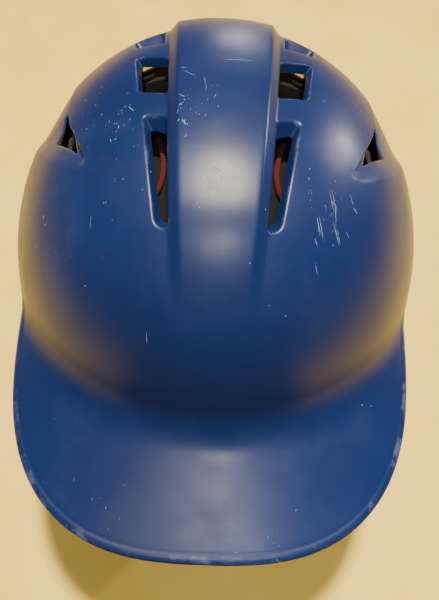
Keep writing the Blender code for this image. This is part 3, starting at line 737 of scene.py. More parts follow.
def clear_of(lines, loops):
    """Cut the stretches out of crease lines that run through a vent."""
    kept = []
    for line in lines:
        blocked = np.zeros(len(line), dtype=bool)
        for loop in loops:
            blocked |= within(line, loop)
        run = []
        for point, stop in zip(line, blocked):
            if not stop:
                run.append(point)
            if (stop or point is line[-1]) and run:
                if len(run) > 1:
                    kept.append(np.array(run))
                run = []
        if len(run) > 1:
            kept.append(np.array(run))
    return kept


def crease_lines():
    """Give the rib's and the scoops' crease lines on the map, both sides."""
    lines = []
    q = np.linspace(RIB_FRONT[0], QUARTER + EQUATOR_Z - NAPE_Z - 6, 120)
    for extra in (-2.0, -0.8, 0.0, 0.8, 2.3, 3.8, 4.6, 5.4, 6.8):
        line = np.stack([rib_map(q, extra), q], axis=1)
        lines.append(line[np.hypot(line[:, 0], q) < q[-1] - 5])
    for base, offsets in ((LEDGE_LINE, (-1.6, -0.5, 0.0, 0.8, 1.6, 2.2, 3.4)),
                          (CREST_LINE, (-2.4, -1.0, 0.0, 1.0, 2.4))):
        run = unit(np.gradient(base, axis=0))
        across = np.stack([run[:, 1], -run[:, 0]], axis=1)
        for offset in offsets:
            lines.append((base + across * offset)[2:])
    return lines + [line * np.array([-1.0, 1.0]) for line in lines]


def rim_bead(loop, depth):
    """Scale the rim's bead: full on the bill, faint on the flaps and nape."""
    theta = np.abs(np.arctan2(loop[:, 0], -loop[:, 1]))
    bill = is_bill(loop[:, 0], loop[:, 1]) & (theta < NOTCH)
    return depth * np.where(bill, 1.0, FAINT_BEAD)


def build_shell(look):
    """Build the finished shell with rounded vents, rib, scoops and a beaded rim."""
    rim = signed(rim_loop())
    outline = inset_loop(rim, EDGE_ROUND)
    ears = [signed(ear_loop(EAR_RADIUS)), signed(mirrored(ear_loop(EAR_RADIUS)))]
    rims = [(inset_loop(rim, EDGE_ROUND + out), depth) for out, depth in BEAD_ROWS[1:]]
    vents = []
    for kind in VENTS:
        hole, lip = vent_loops(kind)
        for turn in (lambda loop: loop, mirrored):
            vents.append((signed(turn(hole)), signed(turn(lip)), VENTS[kind]["depth"],
                          VENTS[kind]["straight"]))

    body = Body()
    rings, depths = [], []
    for loop, depth in rims:
        rings.append(loop)
        depths.append(rim_bead(loop, depth) - relief(loop[:, 0], loop[:, 1]))
    for _, lip, _, _ in vents:
        for out, drop in LIP_ROWS:
            loop = grown(lip, out)
            rings.append(loop)
            depths.append(drop - relief(loop[:, 0], loop[:, 1]))
    for ear in ears:
        rings.append(grown(ear, 3.0))
        depths.append(np.zeros(len(ear)))
        rings.append(grown(ear, 1.2))
        depths.append(np.full(len(ear), 0.15))
    guards = [grown(lip, LIP_ROWS[0][0] + 0.5) for _, lip, _, _ in vents]
    holes = [lip for _, lip, _, _ in vents] + ears
    flat, triangles, numbers = triangulate(outline, holes, rings,
                                           clear_of(crease_lines(), guards), SHELL_STEP)
    inset = -relief(flat[:, 0], flat[:, 1])
    inset[numbers[0]] = rim_bead(outline, BEAD_ROWS[0][1]) + inset[numbers[0]]
    for number in numbers[1:1 + len(vents)]:
        inset[number] += LIP_DROP
    for number in numbers[1 + len(vents):1 + len(holes)]:
        inset[number] = 0.8
    for number, depth in zip(numbers[1 + len(holes):], depths):
        inset[number] = depth
    first = body.sheet(skin(flat[:, 0], flat[:, 1], inset), triangles)
    top = [first + number for number in numbers[:1 + len(holes)]]
    wear = np.zeros(len(flat))
    wear[numbers[0]] = 1.0
    for number, (_, depth) in zip(numbers[1 + len(holes):], rims):
        wear[number] = 1.0 if depth < 0 else 0.0
    lip_rings = numbers[1 + len(holes) + len(rims):]
    for i in range(len(vents)):
        wear[lip_rings[i * len(LIP_ROWS) + 1]] = 0.8
        wear[numbers[1 + i]] = 1.0
    wears = [wear]

    under_holes = [hole if straight else grown(hole, VENT_WALL)
                   for hole, _, _, straight in vents]
    under_rings = [grown(lip, VENT_WALL) for _, lip, _, straight in vents if not straight]
    flat, triangles, numbers = triangulate(outline, under_holes + ears, under_rings, [],
                                           SHELL_STEP * 1.5)
    inset = WALL - np.minimum(relief(flat[:, 0], flat[:, 1]), RIB_HEIGHT)
    for number, (_, _, depth, _) in zip(numbers[1:], vents):
        inset[number] = depth
    first = body.sheet(skin(flat[:, 0], flat[:, 1], inset), triangles, flip=True)
    low = [first + number for number in numbers[:1 + len(holes)]]
    wears.append(np.zeros(len(flat)))

    points = np.vstack(body.points)
    outer, inner = points[top[0]], points[low[0]]
    edge = skin(rim[:, 0], rim[:, 1], np.full(len(rim), WALL / 2))
    middle, half = (outer + inner) / 2, (outer - inner) / 2
    out = edge - middle
    out = unit(out - half * (np.sum(out * half, axis=1) / np.sum(half * half, axis=1))[:, None])
    between = [middle + half * math.cos(turn) + out * EDGE_ROUND * math.sin(turn)
               for turn in np.radians([22, 45, 70, 90, 110, 135, 158])]
    body.rows(top[0], low[0], between)
    wears += [np.full(len(row), 1.0) for row in between]
    for (hole, _, depth, straight), upper, lower in zip(vents, top[1:], low[1:]):
        foot = skin(hole[:, 0], hole[:, 1], np.full(len(hole), depth - 0.3))
        parts = [points[upper] * (1 - t) + foot * t for t in WALL_ROWS]
        wears += [np.full(len(hole), 0.7)] + [np.zeros(len(hole))] * (len(WALL_ROWS) - 1)
        if not straight:
            rim_out = grown(hole, 0.4)
            parts.append(skin(rim_out[:, 0], rim_out[:, 1], np.full(len(hole), depth)))
            wears.append(np.zeros(len(hole)))
        body.rows(upper, lower, parts, flip=True)
    for upper, lower in zip(top[1 + len(vents):], low[1 + len(vents):]):
        body.sew(upper, lower, flip=True)
    item = make_object("shell_moulding", np.vstack(body.points), body.faces, look)
    mark = item.data.attributes.new("edge_wear", "FLOAT", "POINT")
    mark.data.foreach_set("value", np.concatenate(wears).astype(np.float32))
    item.data.set_sharp_from_angle(angle=math.radians(50))
    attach(item, "helmet")
    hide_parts("shell")
    return item


# ------------------------------------------------------------------ foam and fabric bodies

def vent_clearance(p, q):
    """Give how much deeper the foam starts under the vents."""
    extra = np.zeros(np.shape(p))
    side = np.abs(p)
    for kind in VENTS:
        for loop in vent_loops(kind):
            loop = signed(loop)
            gap = polyline_distance(side, q, ring(loop))[0]
            inside = within(np.stack([side, q], axis=1), loop)
            near = np.where(inside, 1.0, 1 - smooth_step(gap, VENT_WALL + 0.6, VENT_WALL + 8))
            extra = np.maximum(extra, near * VENT_RELIEF)
    return extra


def scoop_clearance(p, q):
    """Give how much deeper the foam starts under the side scoops."""
    deepest = np.maximum(-relief(p, q), 0)
    for turn in np.arange(8) / 8 * 2 * math.pi:
        for reach in (4.0, 8.0):
            near = relief(p + reach * math.cos(turn), q + reach * math.sin(turn))
            deepest = np.maximum(deepest, -near)
    return deepest


def foam_depth(p, q):
    """Give the depth at which the foam starts under the shell."""
    depth = LINER_OUT + 0.2 + scoop_clearance(p, q) + vent_clearance(p, q)
    return np.minimum(depth, LINER_IN - 2.5)


def sector(theta_low, theta_high, rho_low, rho_high, corner=10.0):
    """Give the outline of a patch between two angles and two map distances."""
    mean = (rho_low + rho_high) / 2
    width = math.radians(theta_high - theta_low) * mean
    box = [(0, rho_low, corner), (width, rho_low, corner), (width, rho_high, corner),
           (0, rho_high, corner)]
    path = divide(rounded(box, 6), FOAM_STEP)
    theta = math.radians(theta_low) + path[:, 0] / mean
    return polar(theta, path[:, 1])


def plan_outline(corners, radius):
    """Give a rounded outline laid out in plan, on the map."""
    path = rounded([(x, y, radius) for x, y in corners], 6)
    return from_plan(path[:, 0], path[:, 1])


def rear_outline():
    """Give the rear liner's outline, whose front edge reaches furthest forward at its sides."""
    right = [(0.0, 86.0, 8.0), (22.0, 76.0, 8.0), (38.0, 61.0, 3.0), (51.0, 56.0, 6.0)]
    right = [(*from_plan(x, y), radius) for x, y, radius in right]
    right += [(*polar(math.radians(132), 118.0), 12.0), (*polar(math.radians(133), 222.0), 14.0)]
    left = [(-p, q, radius) for p, q, radius in right[::-1]]
    return rounded(right + [(0.0, 226.0, 8.0)] + left[:-1], 6)


def slab(outline, upper, lower, edge, step, holes=(), crown=0.0):
    """Build a closed slab with rounded edges between two depths inside the crown.

    upper and lower each give a depth at map points, and crown thickens the middle inwards.
    """
    outline = signed(divide(outline, step))
    holes = [signed(divide(hole, step)) for hole in holes]
    body = Body()
    rows = [(1.0, 0.0), (0.62, 0.08), (0.29, 0.29), (0.08, 0.62), (0.0, 1.0)]
    cut = [grown(outline, -edge)] + [grown(hole, edge) for hole in holes]
    flat, triangles, numbers = triangulate(cut[0], cut[1:], [], [], step)
    lows = lower(flat[:, 0], flat[:, 1])
    if crown:
        rim = np.min([polyline_distance(flat[:, 0], flat[:, 1], ring(loop))[0] for loop in cut],
                     axis=0)
        lows = lows + crown * smooth_step(rim, -6.0, 16.0)
    base = crown * float(smooth_step(0.0, -6.0, 16.0)) if crown else 0.0
    tops = upper(flat[:, 0], flat[:, 1])
    first = body.sheet(skin(flat[:, 0], flat[:, 1], tops, False), triangles)
    top = [first + number for number in numbers]
    first = body.sheet(skin(flat[:, 0], flat[:, 1], lows, False), triangles, flip=True)
    low = [first + number for number in numbers]
    for i, loop in enumerate([outline] + holes):
        sign = 1.0 if i == 0 else -1.0
        between = []
        for inward, down in rows[1:]:
            at = grown(loop, -sign * edge * inward)
            depth = upper(at[:, 0], at[:, 1]) + edge * down
            between.append(skin(at[:, 0], at[:, 1], depth, False))
        for inward, down in rows[:0:-1]:
            at = grown(loop, -sign * edge * inward)
            depth = lower(at[:, 0], at[:, 1]) + base - edge * down
            between.append(skin(at[:, 0], at[:, 1], depth, False))
        body.rows(top[i], low[i], between, flip=sign < 0)
    return np.vstack(body.points), body.faces


def level(depth):
    """Give a depth function that is the same everywhere."""
    return lambda p, q: np.full(np.shape(p), float(depth))


def both_sides(name, build):
    """Build the wearer's left piece, on the +X side, and its mirrored right one."""
    build("left_" + name, lambda loop: loop)
    build("right_" + name, mirrored)


def place_piece(item, body, node):
    """Let a piece ride on a body in the place of a CAD node."""
    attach(item, body)
    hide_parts(node)


def mark_painted_shade(item, outline):
    """Mark a slab's points for painted shade, in the order slab gives them: 0 on the sheet against
    the shell and its upper edge rounding, 1 on the sheet towards the head and its lower edge
    rounding, which are darkened to stand for the shade inside the helmet.
    """
    ring_size = len(divide(outline, FOAM_STEP))
    sheet = (len(item.data.vertices) - 8 * ring_size) // 2
    # painted shade: the sheet towards the head and the lower rounding get 1, and are later mixed to
    # near black as the shade inside the helmet
    painted_shade = [0.0] * sheet + [1.0] * sheet + [0.0] * 4 * ring_size + [1.0] * 4 * ring_size
    mark = item.data.attributes.new("painted_shade", "FLOAT", "POINT")
    mark.data.foreach_set("value", painted_shade)


def build_liners(yellow, dark):
    """Build the five segments of the foam liner with rounded edges."""
    brow = float(rho_at_height(ROOT_FRONT_Z + 4.0))
    crown = plan_outline([(-13.5, -52), (13.5, -52), (16.5, 48), (-16.5, 48)], 8)
    plans = {
        "front_impact_liner": (sector(-50, 50, 84, brow), dark, "foam_charcoal"),
        "crown_impact_liner": (crown, yellow, "foam_yellow"),
        "rear_impact_liner": (rear_outline(), yellow, "foam_yellow"),
        "left_impact_liner": (sector(73, 124, 112, QUARTER + 8), dark, "foam_charcoal"),
        "right_impact_liner": (mirrored(sector(73, 124, 112, QUARTER + 8)), dark,
                               "foam_charcoal"),
    }
    for name, (outline, look, slot_name) in plans.items():
        points, faces = slab(outline, foam_depth, level(LINER_IN), FOAM_EDGE, FOAM_STEP)
        item = make_object(name + "_foam", points, faces, look)
        # painted shade: the rear liner's side towards the head is darkened to stand for the shade
        # inside the helmet
        if name == "rear_impact_liner":
            mark_painted_shade(item, outline)
        place_piece(item, "helmet", name)


def remesh(item, voxel):
    """Remesh an object to an even voxel mesh."""
    modifier = item.modifiers.new("remesh", "REMESH")
    modifier.mode = "VOXEL"
    modifier.voxel_size = voxel
    modifier.use_smooth_shade = True
    bake(item)


def bake(item):
    """Apply an object's modifiers to its mesh."""
    graph = bpy.context.evaluated_depsgraph_get()
    mesh = bpy.data.meshes.new_from_object(item.evaluated_get(graph), depsgraph=graph)
    item.modifiers.clear()
    item.data = mesh


def coordinates(mesh):
    """Give a mesh's points as an array."""
    flat = np.empty(len(mesh.vertices) * 3)
    mesh.vertices.foreach_get("co", flat)
    return flat.reshape(-1, 3)


def inflate(item, away, cap):
    """Swell a pad by cloth pressure, held back towards the helmet and capped elsewhere."""
    start = coordinates(item.data)
    modifier = item.modifiers.new("cloth", "CLOTH")
    settings = modifier.settings
    settings.quality = 6
    settings.mass = 0.25
    settings.tension_stiffness = 12
    settings.compression_stiffness = 12
    settings.shear_stiffness = 6
    settings.bending_stiffness = 0.6
    settings.use_pressure = True
    settings.uniform_pressure_force = 4.0
    settings.effector_weights.gravity = 0.0
    scene = bpy.context.scene
    for frame_number in range(1, SWELL_FRAMES + 1):
        scene.frame_set(frame_number)
    bake(item)
    scene.frame_set(1)
    move = coordinates(item.data) - start
    outward = away(start)
    along = np.sum(move * outward, axis=1)
    move -= outward * np.maximum(along - 0.0001, 0)[:, None]
    length = np.linalg.norm(move, axis=1)
    move *= (cap / np.maximum(length, cap))[:, None]
    item.data.vertices.foreach_set("co", (start + move).ravel())
    modifier = item.modifiers.new("smooth", "SUBSURF")
    modifier.levels = modifier.render_levels = 1
    bake(item)


def nearest_on(item, points):
    """Give the points of an object's surface nearest to given points, and the normals there."""
    tree = BVHTree.FromPolygons([v.co for v in item.data.vertices],
                                [list(face.vertices) for face in item.data.polygons])
    found = [tree.find_nearest(Vector(point)) for point in points]
    return (np.array([tuple(spot[0]) for spot in found]),
            np.array([tuple(spot[1]) for spot in found]))


def tube(centres, radius, sides, closed=True, squash=1.0, normals=None):
    """Build a round tube along a path, in metres."""
    count = len(centres)
    ahead = (np.roll(centres, -1, axis=0) - np.roll(centres, 1, axis=0)) if closed else \
        np.gradient(centres, axis=0)
    ahead = unit(ahead)
    up = normals if normals is not None else np.tile([0.0, 0.0, 1.0], (count, 1))
    across = unit(np.cross(ahead, up))
    up = np.cross(across, ahead)
    points, faces = [], []
    ends = np.ones(count)
    if not closed:
        ends[[0, -1]] = 0.35
    for i in range(count):
        for j in range(sides):
            turn = 2 * math.pi * j / sides
            ray = math.cos(turn) * across[i] + squash * math.sin(turn) * up[i]
            points.append(centres[i] + radius * ends[i] * ray)
    for i in range(count if closed else count - 1):
        for j in range(sides):
            k = (j + 1) % sides
            after = (i + 1) % count * sides
            faces.append((i * sides + j, i * sides + k, after + k, after + j))
    if not closed:
        last = (count - 1) * sides
        faces.append(tuple(range(sides))[::-1])
        faces.append(tuple(last + j for j in range(sides)))
    return points, faces


def metre_object(name, parts, look):
    """Make one object of several tubes, given in metres in the helmet's frame."""
    points, faces, start = [], [], 0
    for part_points, part_faces in parts:
        points += [tuple(point) for point in part_points]
        faces += [tuple(index + start for index in face) for face in part_faces]
        start += len(part_points)
    mesh = bpy.data.meshes.new(name)
    mesh.from_pydata(points, [], faces)
    mesh.materials.append(look)
    mesh.polygons.foreach_set("use_smooth", [True] * len(mesh.polygons))
    item = bpy.data.objects.new(name, mesh)
    bpy.context.scene.collection.objects.link(item)
    return item


def resample(points, pitch):
    """Place points at an even pitch along a closed path."""
    closed = np.vstack([points, points[:1]])
    run = np.concatenate([[0], np.cumsum(np.linalg.norm(np.diff(closed, axis=0), axis=1))])
    at = np.linspace(0, run[-1], max(8, round(run[-1] / pitch)) + 1)[:-1]
    return np.stack([np.interp(at, run, closed[:, i]) for i in range(3)], axis=1)


def sink(item, line, depth, reach):
    """Pull a pad's surface in along a sewn line."""
    tree = KDTree(len(line))
    for i, point in enumerate(line):
        tree.insert(Vector(point), i)
    tree.balance()
    points = coordinates(item.data)
    normals = np.empty(len(points) * 3)
    item.data.vertices.foreach_get("normal", normals)
    gap = np.array([tree.find(Vector(point))[2] for point in points])
    pull = depth * np.exp(-(gap / reach) ** 2)
    item.data.vertices.foreach_set("co", (points - normals.reshape(-1, 3) * pull[:, None]).ravel())


def sewn_pad(node, body, outline, upper, lower, away, looks, holes=(), crown=1.6):
    """Build one comfort pad: a fabric cover swollen over its foam, with welt and stitches."""
    cover, thread = looks
    outline = signed(np.asarray(outline))
    inner = [signed(hole) for hole in holes]
    points, faces = slab(grown(outline, -0.9), level(upper + 0.3), level(lower - 2.6), 2.2,
                         PAD_STEP, [grown(hole, 0.9) for hole in inner], crown)
    item = make_object(node + "_cover", points, faces, cover)
    remesh(item, PAD_VOXEL * MM)
    inflate(item, away, SWELL_LIMIT * MM)
    item.data.materials.clear()
    item.data.materials.append(cover)
    seams, stitches = [], []
    for i, loop in enumerate([outline] + inner):
        sign = 1.0 if i == 0 else -1.0
        middle = np.full(len(loop), (upper + lower) / 2)
        wide = grown(loop, sign * 4.0)
        around = moved(skin(wide[:, 0], wide[:, 1], middle, False))
        spots = nearest_on(item, resample(around, SEAM_PITCH * MM))[0]
        seams.append(spots)
        if i == 0:
            inset = grown(loop, -SEAM_INSET)
            face = moved(skin(inset[:, 0], inset[:, 1], np.full(len(loop), lower + 8.0), False))
            stitches.append(nearest_on(item, resample(face, STITCH_PITCH * MM / 4))[0])
    for line in stitches:
        sink(item, line, 0.0011, 0.0022)
    for spots in seams:
        sink(item, spots, 0.0006, 0.0016)
    item.data.polygons.foreach_set("use_smooth", [True] * len(item.data.polygons))
    place_piece(item, body, node)
    parts = []
    for spots in seams:
        spots, normals = nearest_on(item, spots)
        parts.append(tube(spots + normals * 0.0002, 0.0008, 8, True, 1.0, normals))
    welt = metre_object(node + "_welt", parts, cover)
    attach(welt, body)
    parts = []
    for line in stitches:
        line, normals = nearest_on(item, line)
        for k in range(0, len(line) - 3, 4):
            at = line[k:k + 3] + normals[k:k + 3] * np.array([[-0.0001], [0.00035], [-0.0001]])
            parts.append(tube(at, 0.00032, 6, False, 0.8, normals[k:k + 3]))
    sewing = metre_object(node + "_stitching", parts, thread)
    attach(sewing, body)


def moved(points):
    """Turn the map functions' millimetres into metres in the helmet's frame."""
    return (points + np.array([0.0, LENGTH_SHIFT, 0.0])) * MM


def dome_away(points):
    """Give the direction from the head towards the shell at points in metres."""
    centre = np.array([0.0, LENGTH_SHIFT, 95.0]) * MM
    return unit(points - centre)


def side_away(points):
    """Give the sideways direction out of the helmet at points in metres."""
    return np.stack([np.sign(points[:, 0]), np.zeros(len(points)), np.zeros(len(points))], axis=1)


def build_pads(cover, thread):
    """Build the eight comfort pads."""
    looks = (cover, thread)
    brow = float(rho_at_height(ROOT_FRONT_Z + 5.0))
    sewn_pad("brow_pad", "brow_pad", sector(-46, 46, brow - 34, brow), PAD_OUT, PAD_IN,
             dome_away, looks)
    sewn_pad("nape_pad", "nape_pad", sector(146, 214, 176, 220), PAD_OUT, PAD_IN, dome_away,
             looks)

    def temple(name, turn):
        sewn_pad(name, name, turn(sector(74, 120, 136, QUARTER - 2)), PAD_OUT, PAD_IN,
                 dome_away, looks)

    def ear(name, turn):
        sewn_pad(name, name, turn(ear_loop(EAR_RADIUS + 16)), WALL + 2.4, WALL + 18,
                 side_away, looks, [turn(ear_loop(EAR_RADIUS + 1))])

    def crown(name, turn):
        sewn_pad(name, name, turn(plan_outline(CROWN_PAD_PLAN, 7)), PAD_OUT, PAD_IN,
                 dome_away, looks)

    both_sides("temple_pad", temple)
    both_sides("ear_pad", ear)
    both_sides("crown_pad", crown)


def build_piping(look):
    """Build the crown pads' red edging."""
    def piping(name, turn):
        route = rounded([(x, y, 6.0) for x, y in PIPING_PLAN], 8, closed=False)
        route = turn(from_plan(*divide(route, 1.5, closed=False).T))
        depth = np.full(len(route), PAD_OUT - PIPING_RADIUS - 0.3)
        centres = moved(skin(route[:, 0], route[:, 1], depth, False))
        deeper = moved(skin(route[:, 0], route[:, 1], depth + 1.0, False))
        item = metre_object(name + "_bead", [tube(centres, PIPING_RADIUS * MM, 14, False, 1.0,
                                                  unit(centres - deeper))], look)
        place_piece(item, name.replace("_piping", ""), name)

    both_sides("crown_pad_piping", piping)


def build_tabs(look):
    """Build the hook-and-loop tabs with rounded rims."""
    brow = float(rho_at_height(ROOT_FRONT_Z + 5.0)) - 17
    turn = np.arange(32) / 32 * 2 * math.pi
    circle = np.stack([np.cos(turn), np.sin(turn)], axis=1)
    for side, sign in (("left", 1), ("right", -1)):
        spots = {
            "brow": (polar(math.radians(28 * sign), brow), TAB_RADIUS, TAB_OUT, TAB_IN),
            "temple": (polar(math.radians(97 * sign), 163.0), TAB_RADIUS, TAB_OUT, TAB_IN),
            "nape": (polar(math.radians(180 - 20 * sign), 198.0), TAB_RADIUS, TAB_OUT, TAB_IN),
            "crown": (from_plan(np.array(46.0 * sign), np.array(60.0)), 5.5, TAB_OUT, TAB_IN),
        }
        for where, angle in (("ear_front", 150), ("ear_rear", 30)):
            reach = EAR_RADIUS + 8.5
            spot = from_side(EAR_CENTRE[0] + reach * math.cos(math.radians(angle)),
                             EAR_CENTRE[1] + reach * math.sin(math.radians(angle)))
            spots[where] = (spot * np.array([sign, 1.0]), 5.5, WALL + 0.4, WALL + 2.0)
        for where, (spot, radius, upper, lower) in spots.items():
            points, faces = slab(spot + radius * circle, level(upper), level(lower), 0.5, 1.6)
            node = f"{side}_{where}_hook_tab"
            place_piece(make_object(node + "_disc", points, faces, look), "helmet", node)


# ------------------------------------------------------------------ node helpers

def new_material(name, roughness, specular=0.5):
    """Make a Principled material and give it with its node tree and shader."""
    result = bpy.data.materials.new(name)
    result.use_nodes = True
    tree = result.node_tree
    shader = tree.nodes["Principled BSDF"]
    shader.inputs["Roughness"].default_value = roughness
    shader.inputs["Specular IOR Level"].default_value = specular
    return result, tree, shader


def noise(tree, scale, detail=3.0, rough=0.55, stretch=(1.0, 1.0, 1.0), turn=(0.0, 0.0, 0.0)):
    """Add a noise texture in object space and give its value socket."""
    coords = tree.nodes.new("ShaderNodeTexCoord")
    mapping = tree.nodes.new("ShaderNodeMapping")
    mapping.inputs["Scale"].default_value = stretch
    mapping.inputs["Rotation"].default_value = turn
    texture = tree.nodes.new("ShaderNodeTexNoise")
    texture.inputs["Scale"].default_value = scale
    texture.inputs["Detail"].default_value = detail
    texture.inputs["Roughness"].default_value = rough
    tree.links.new(coords.outputs["Object"], mapping.inputs["Vector"])
    tree.links.new(mapping.outputs["Vector"], texture.inputs["Vector"])
    return texture.outputs["Fac"]


def remap(tree, socket, low, high, to_low=0.0, to_high=1.0):
    """Map a value range to another, clamped."""
    node = tree.nodes.new("ShaderNodeMapRange")
    node.interpolation_type = "SMOOTHSTEP"
    for key, value in (("From Min", low), ("From Max", high), ("To Min", to_low),
                       ("To Max", to_high)):
        node.inputs[key].default_value = value
    tree.links.new(socket, node.inputs["Value"])
    return node.outputs["Result"]


def maths(tree, operation, a, b):
    """Combine two values, each a socket or a number."""
    node = tree.nodes.new("ShaderNodeMath")
    node.operation = operation
    for slot, value in zip(node.inputs, (a, b)):
        if isinstance(value, (int, float)):
            slot.default_value = value
        else:
            tree.links.new(value, slot)
    return node.outputs["Value"]


def mix(tree, factor, a, b):
    """Mix two colours, each a socket or an RGB triple, by a factor socket."""
    node = tree.nodes.new("ShaderNodeMix")
    node.data_type = "RGBA"
    tree.links.new(factor, node.inputs["Factor"])
    for key, value in ((6, a), (7, b)):
        if isinstance(value, tuple):
            node.inputs[key].default_value = (*value, 1.0)
        else:
            tree.links.new(value, node.inputs[key])
    return node.outputs[2]


def bump(tree, shader, height, strength, distance):
    """Drive the shader's normal from a height."""
    node = tree.nodes.new("ShaderNodeBump")
    node.inputs["Strength"].default_value = strength
    node.inputs["Distance"].default_value = distance
    tree.links.new(height, node.inputs["Height"])
    tree.links.new(node.outputs["Normal"], shader.inputs["Normal"])


# ------------------------------------------------------------------ materials

def shell_material():
    """Satin royal-blue plastic with rubbed edges, haze, fine scratches and specks."""
    result, tree, shader = new_material("satin_royal_blue", 0.36, specular=0.36)
    drift = remap(tree, noise(tree, 9.0, 2.0), 0.3, 0.7)
    colour = mix(tree, drift, (0.0050, 0.0150, 0.086), (0.0065, 0.0205, 0.112))
    haze = remap(tree, noise(tree, 22.0, 5.0, 0.62), 0.52, 0.80)
    colour = mix(tree, maths(tree, "MULTIPLY", haze, 0.08), colour, (0.10, 0.17, 0.34))
    specks = remap(tree, noise(tree, 420.0, 1.0), 0.785, 0.82)
    patch = remap(tree, noise(tree, 17.0, 2.0), 0.50, 0.66)
    marks = maths(tree, "MULTIPLY", specks, patch)
    lines = remap(tree, noise(tree, 60.0, 2.0, 0.5, (1.0, 14.0, 1.0), (0.3, 0.2, 0.5)), 0.73, 0.80)
    other = remap(tree, noise(tree, 52.0, 2.0, 0.5, (16.0, 1.0, 2.0), (0.1, 0.4, -0.4)), 0.735, 0.81)
    rubbed = remap(tree, noise(tree, 7.0, 3.0), 0.52, 0.75)
    lines = maths(tree, "MULTIPLY", maths(tree, "MAXIMUM", lines, other), rubbed)
    edge = tree.nodes.new("ShaderNodeAttribute")
    edge.attribute_name = "edge_wear"
    worn = remap(tree, noise(tree, 70.0, 6.0, 0.7), 0.50, 0.66)
    worn = maths(tree, "MULTIPLY", worn, edge.outputs["Fac"])
    marks = maths(tree, "MAXIMUM", marks, maths(tree, "MULTIPLY", lines, 0.35))
    marks = maths(tree, "MAXIMUM", marks, maths(tree, "MULTIPLY", worn, 0.12))
    colour = mix(tree, marks, colour, (0.42, 0.50, 0.66))
    tree.links.new(colour, shader.inputs["Base Color"])
    smudge = remap(tree, noise(tree, 30.0, 4.0, 0.6), 0.35, 0.75, 0.33, 0.42)
    tree.links.new(maths(tree, "ADD", smudge, maths(tree, "MULTIPLY", marks, 0.25)),
                   shader.inputs["Roughness"])
    grain = maths(tree, "ADD", maths(tree, "MULTIPLY", noise(tree, 1500.0, 2.0), 0.6),
                  maths(tree, "MULTIPLY", noise(tree, 130.0, 2.0), 0.9))
    bump(tree, shader, grain, 0.05, 0.0004)
    return result


def scuff_material():
    """Pale scraped plastic of the deeper scratches."""
    result, tree, shader = new_material("scraped_plastic", 0.7, specular=0.3)
    tone = remap(tree, noise(tree, 900.0, 2.0), 0.35, 0.65)
    tree.links.new(mix(tree, tone, (0.05, 0.10, 0.25), (0.24, 0.30, 0.44)),
                   shader.inputs["Base Color"])
    return result


def foam_material(name, dark, light):
    """Closed-cell foam with fine cells, near-black charcoal on the points marked for painted shade,
    which stands for the shade inside the helmet.
    """
    result, tree, shader = new_material(name, 0.85, specular=0.25)
    cells = noise(tree, 900.0, 2.0, 0.6)
    tone = remap(tree, noise(tree, 60.0, 4.0), 0.3, 0.7)
    # painted shade: marked points are mixed to near black to stand for the shade inside the helmet
    painted_shade = tree.nodes.new("ShaderNodeAttribute")
    painted_shade.attribute_name = "painted_shade"
    inner = remap(tree, painted_shade.outputs["Fac"], 0.86, 0.94)
    colour = mix(tree, inner, mix(tree, tone, dark, light), (0.02, 0.02, 0.019))
    tree.links.new(colour, shader.inputs["Base Color"])
    bump(tree, shader, cells, 0.5, 0.0006)
    return result


def fabric_material(name, dark, light, sheen=0.35):
    """Knitted fabric: fine ribs in two directions, fuzz and worn patches."""
    result, tree, shader = new_material(name, 0.9, specular=0.2)
    shader.inputs["Sheen Weight"].default_value = sheen
    shader.inputs["Sheen Roughness"].default_value = 0.5
    coords = tree.nodes.new("ShaderNodeTexCoord")
    knit = []
    for direction, scale in (("X", 520.0), ("DIAGONAL", 430.0)):
        wave = tree.nodes.new("ShaderNodeTexWave")
        wave.wave_type = "BANDS"
        wave.bands_direction = direction
        wave.inputs["Scale"].default_value = scale
        wave.inputs["Distortion"].default_value = 1.2
        tree.links.new(coords.outputs["Object"], wave.inputs["Vector"])
        knit.append(wave.outputs["Fac"])
    weave = maths(tree, "MULTIPLY", knit[0], knit[1])
    fuzz = noise(tree, 1200.0, 3.0)
    shade = maths(tree, "ADD", maths(tree, "MULTIPLY", weave, 0.6),
                  maths(tree, "MULTIPLY", noise(tree, 45.0, 4.0), 0.5))
    tree.links.new(mix(tree, remap(tree, shade, 0.15, 0.75), dark, light),
                   shader.inputs["Base Color"])
    bump(tree, shader, maths(tree, "ADD", weave, maths(tree, "MULTIPLY", fuzz, 0.4)),
         0.6, 0.0006)
    return result


def floor_material():
    """Plain pale floor."""
    result, tree, shader = new_material("pale_floor", 0.62, specular=0.35)
    tone = remap(tree, noise(tree, 14.0, 6.0, 0.6), 0.3, 0.7)
    tree.links.new(mix(tree, tone, (0.88, 0.62, 0.095), (0.95, 0.69, 0.14)),
                   shader.inputs["Base Color"])
    return result


# ------------------------------------------------------------------ scuffs

def surface(p, q, lift):
    """Give the helmet's outer surface at map points, lift mm proud of it."""
    return skin(p, q, -relief(p, q) - lift)


def sliver(start, end, width, bow):
    """Build one scratch between two map points: a thin tapering strip along the surface."""
    run = end - start
    across = np.array([-run[1], run[0]]) / np.linalg.norm(run)
    count = max(4, int(np.linalg.norm(run) / 1.2))
    t = np.linspace(0, 1, count + 1)
    line = start + run * t[:, None] + across * (bow * 4 * t * (1 - t))[:, None]
    half = width * 0.36 * np.sin(math.pi * np.clip(t, 0.04, 0.96))[:, None]
    sides = [line + across * half, line - across * half]
    rows = [surface(side[:, 0], side[:, 1], 0.03) for side in sides]
    rows.insert(1, surface(line[:, 0], line[:, 1], 0.06))
    rows += [surface(side[:, 0], side[:, 1], -0.35) for side in sides[::-1]]
    points, faces, wide = np.vstack(rows), [], count + 1
    for k in range(5):
        a, b = k * wide, (k + 1) % 5 * wide
        faces += [(a + i, b + i, b + i + 1, a + i + 1) for i in range(count)]
    faces.append(tuple(k * wide for k in range(5))[::-1])
    faces.append(tuple(k * wide + count for k in range(5)))
    return points, faces


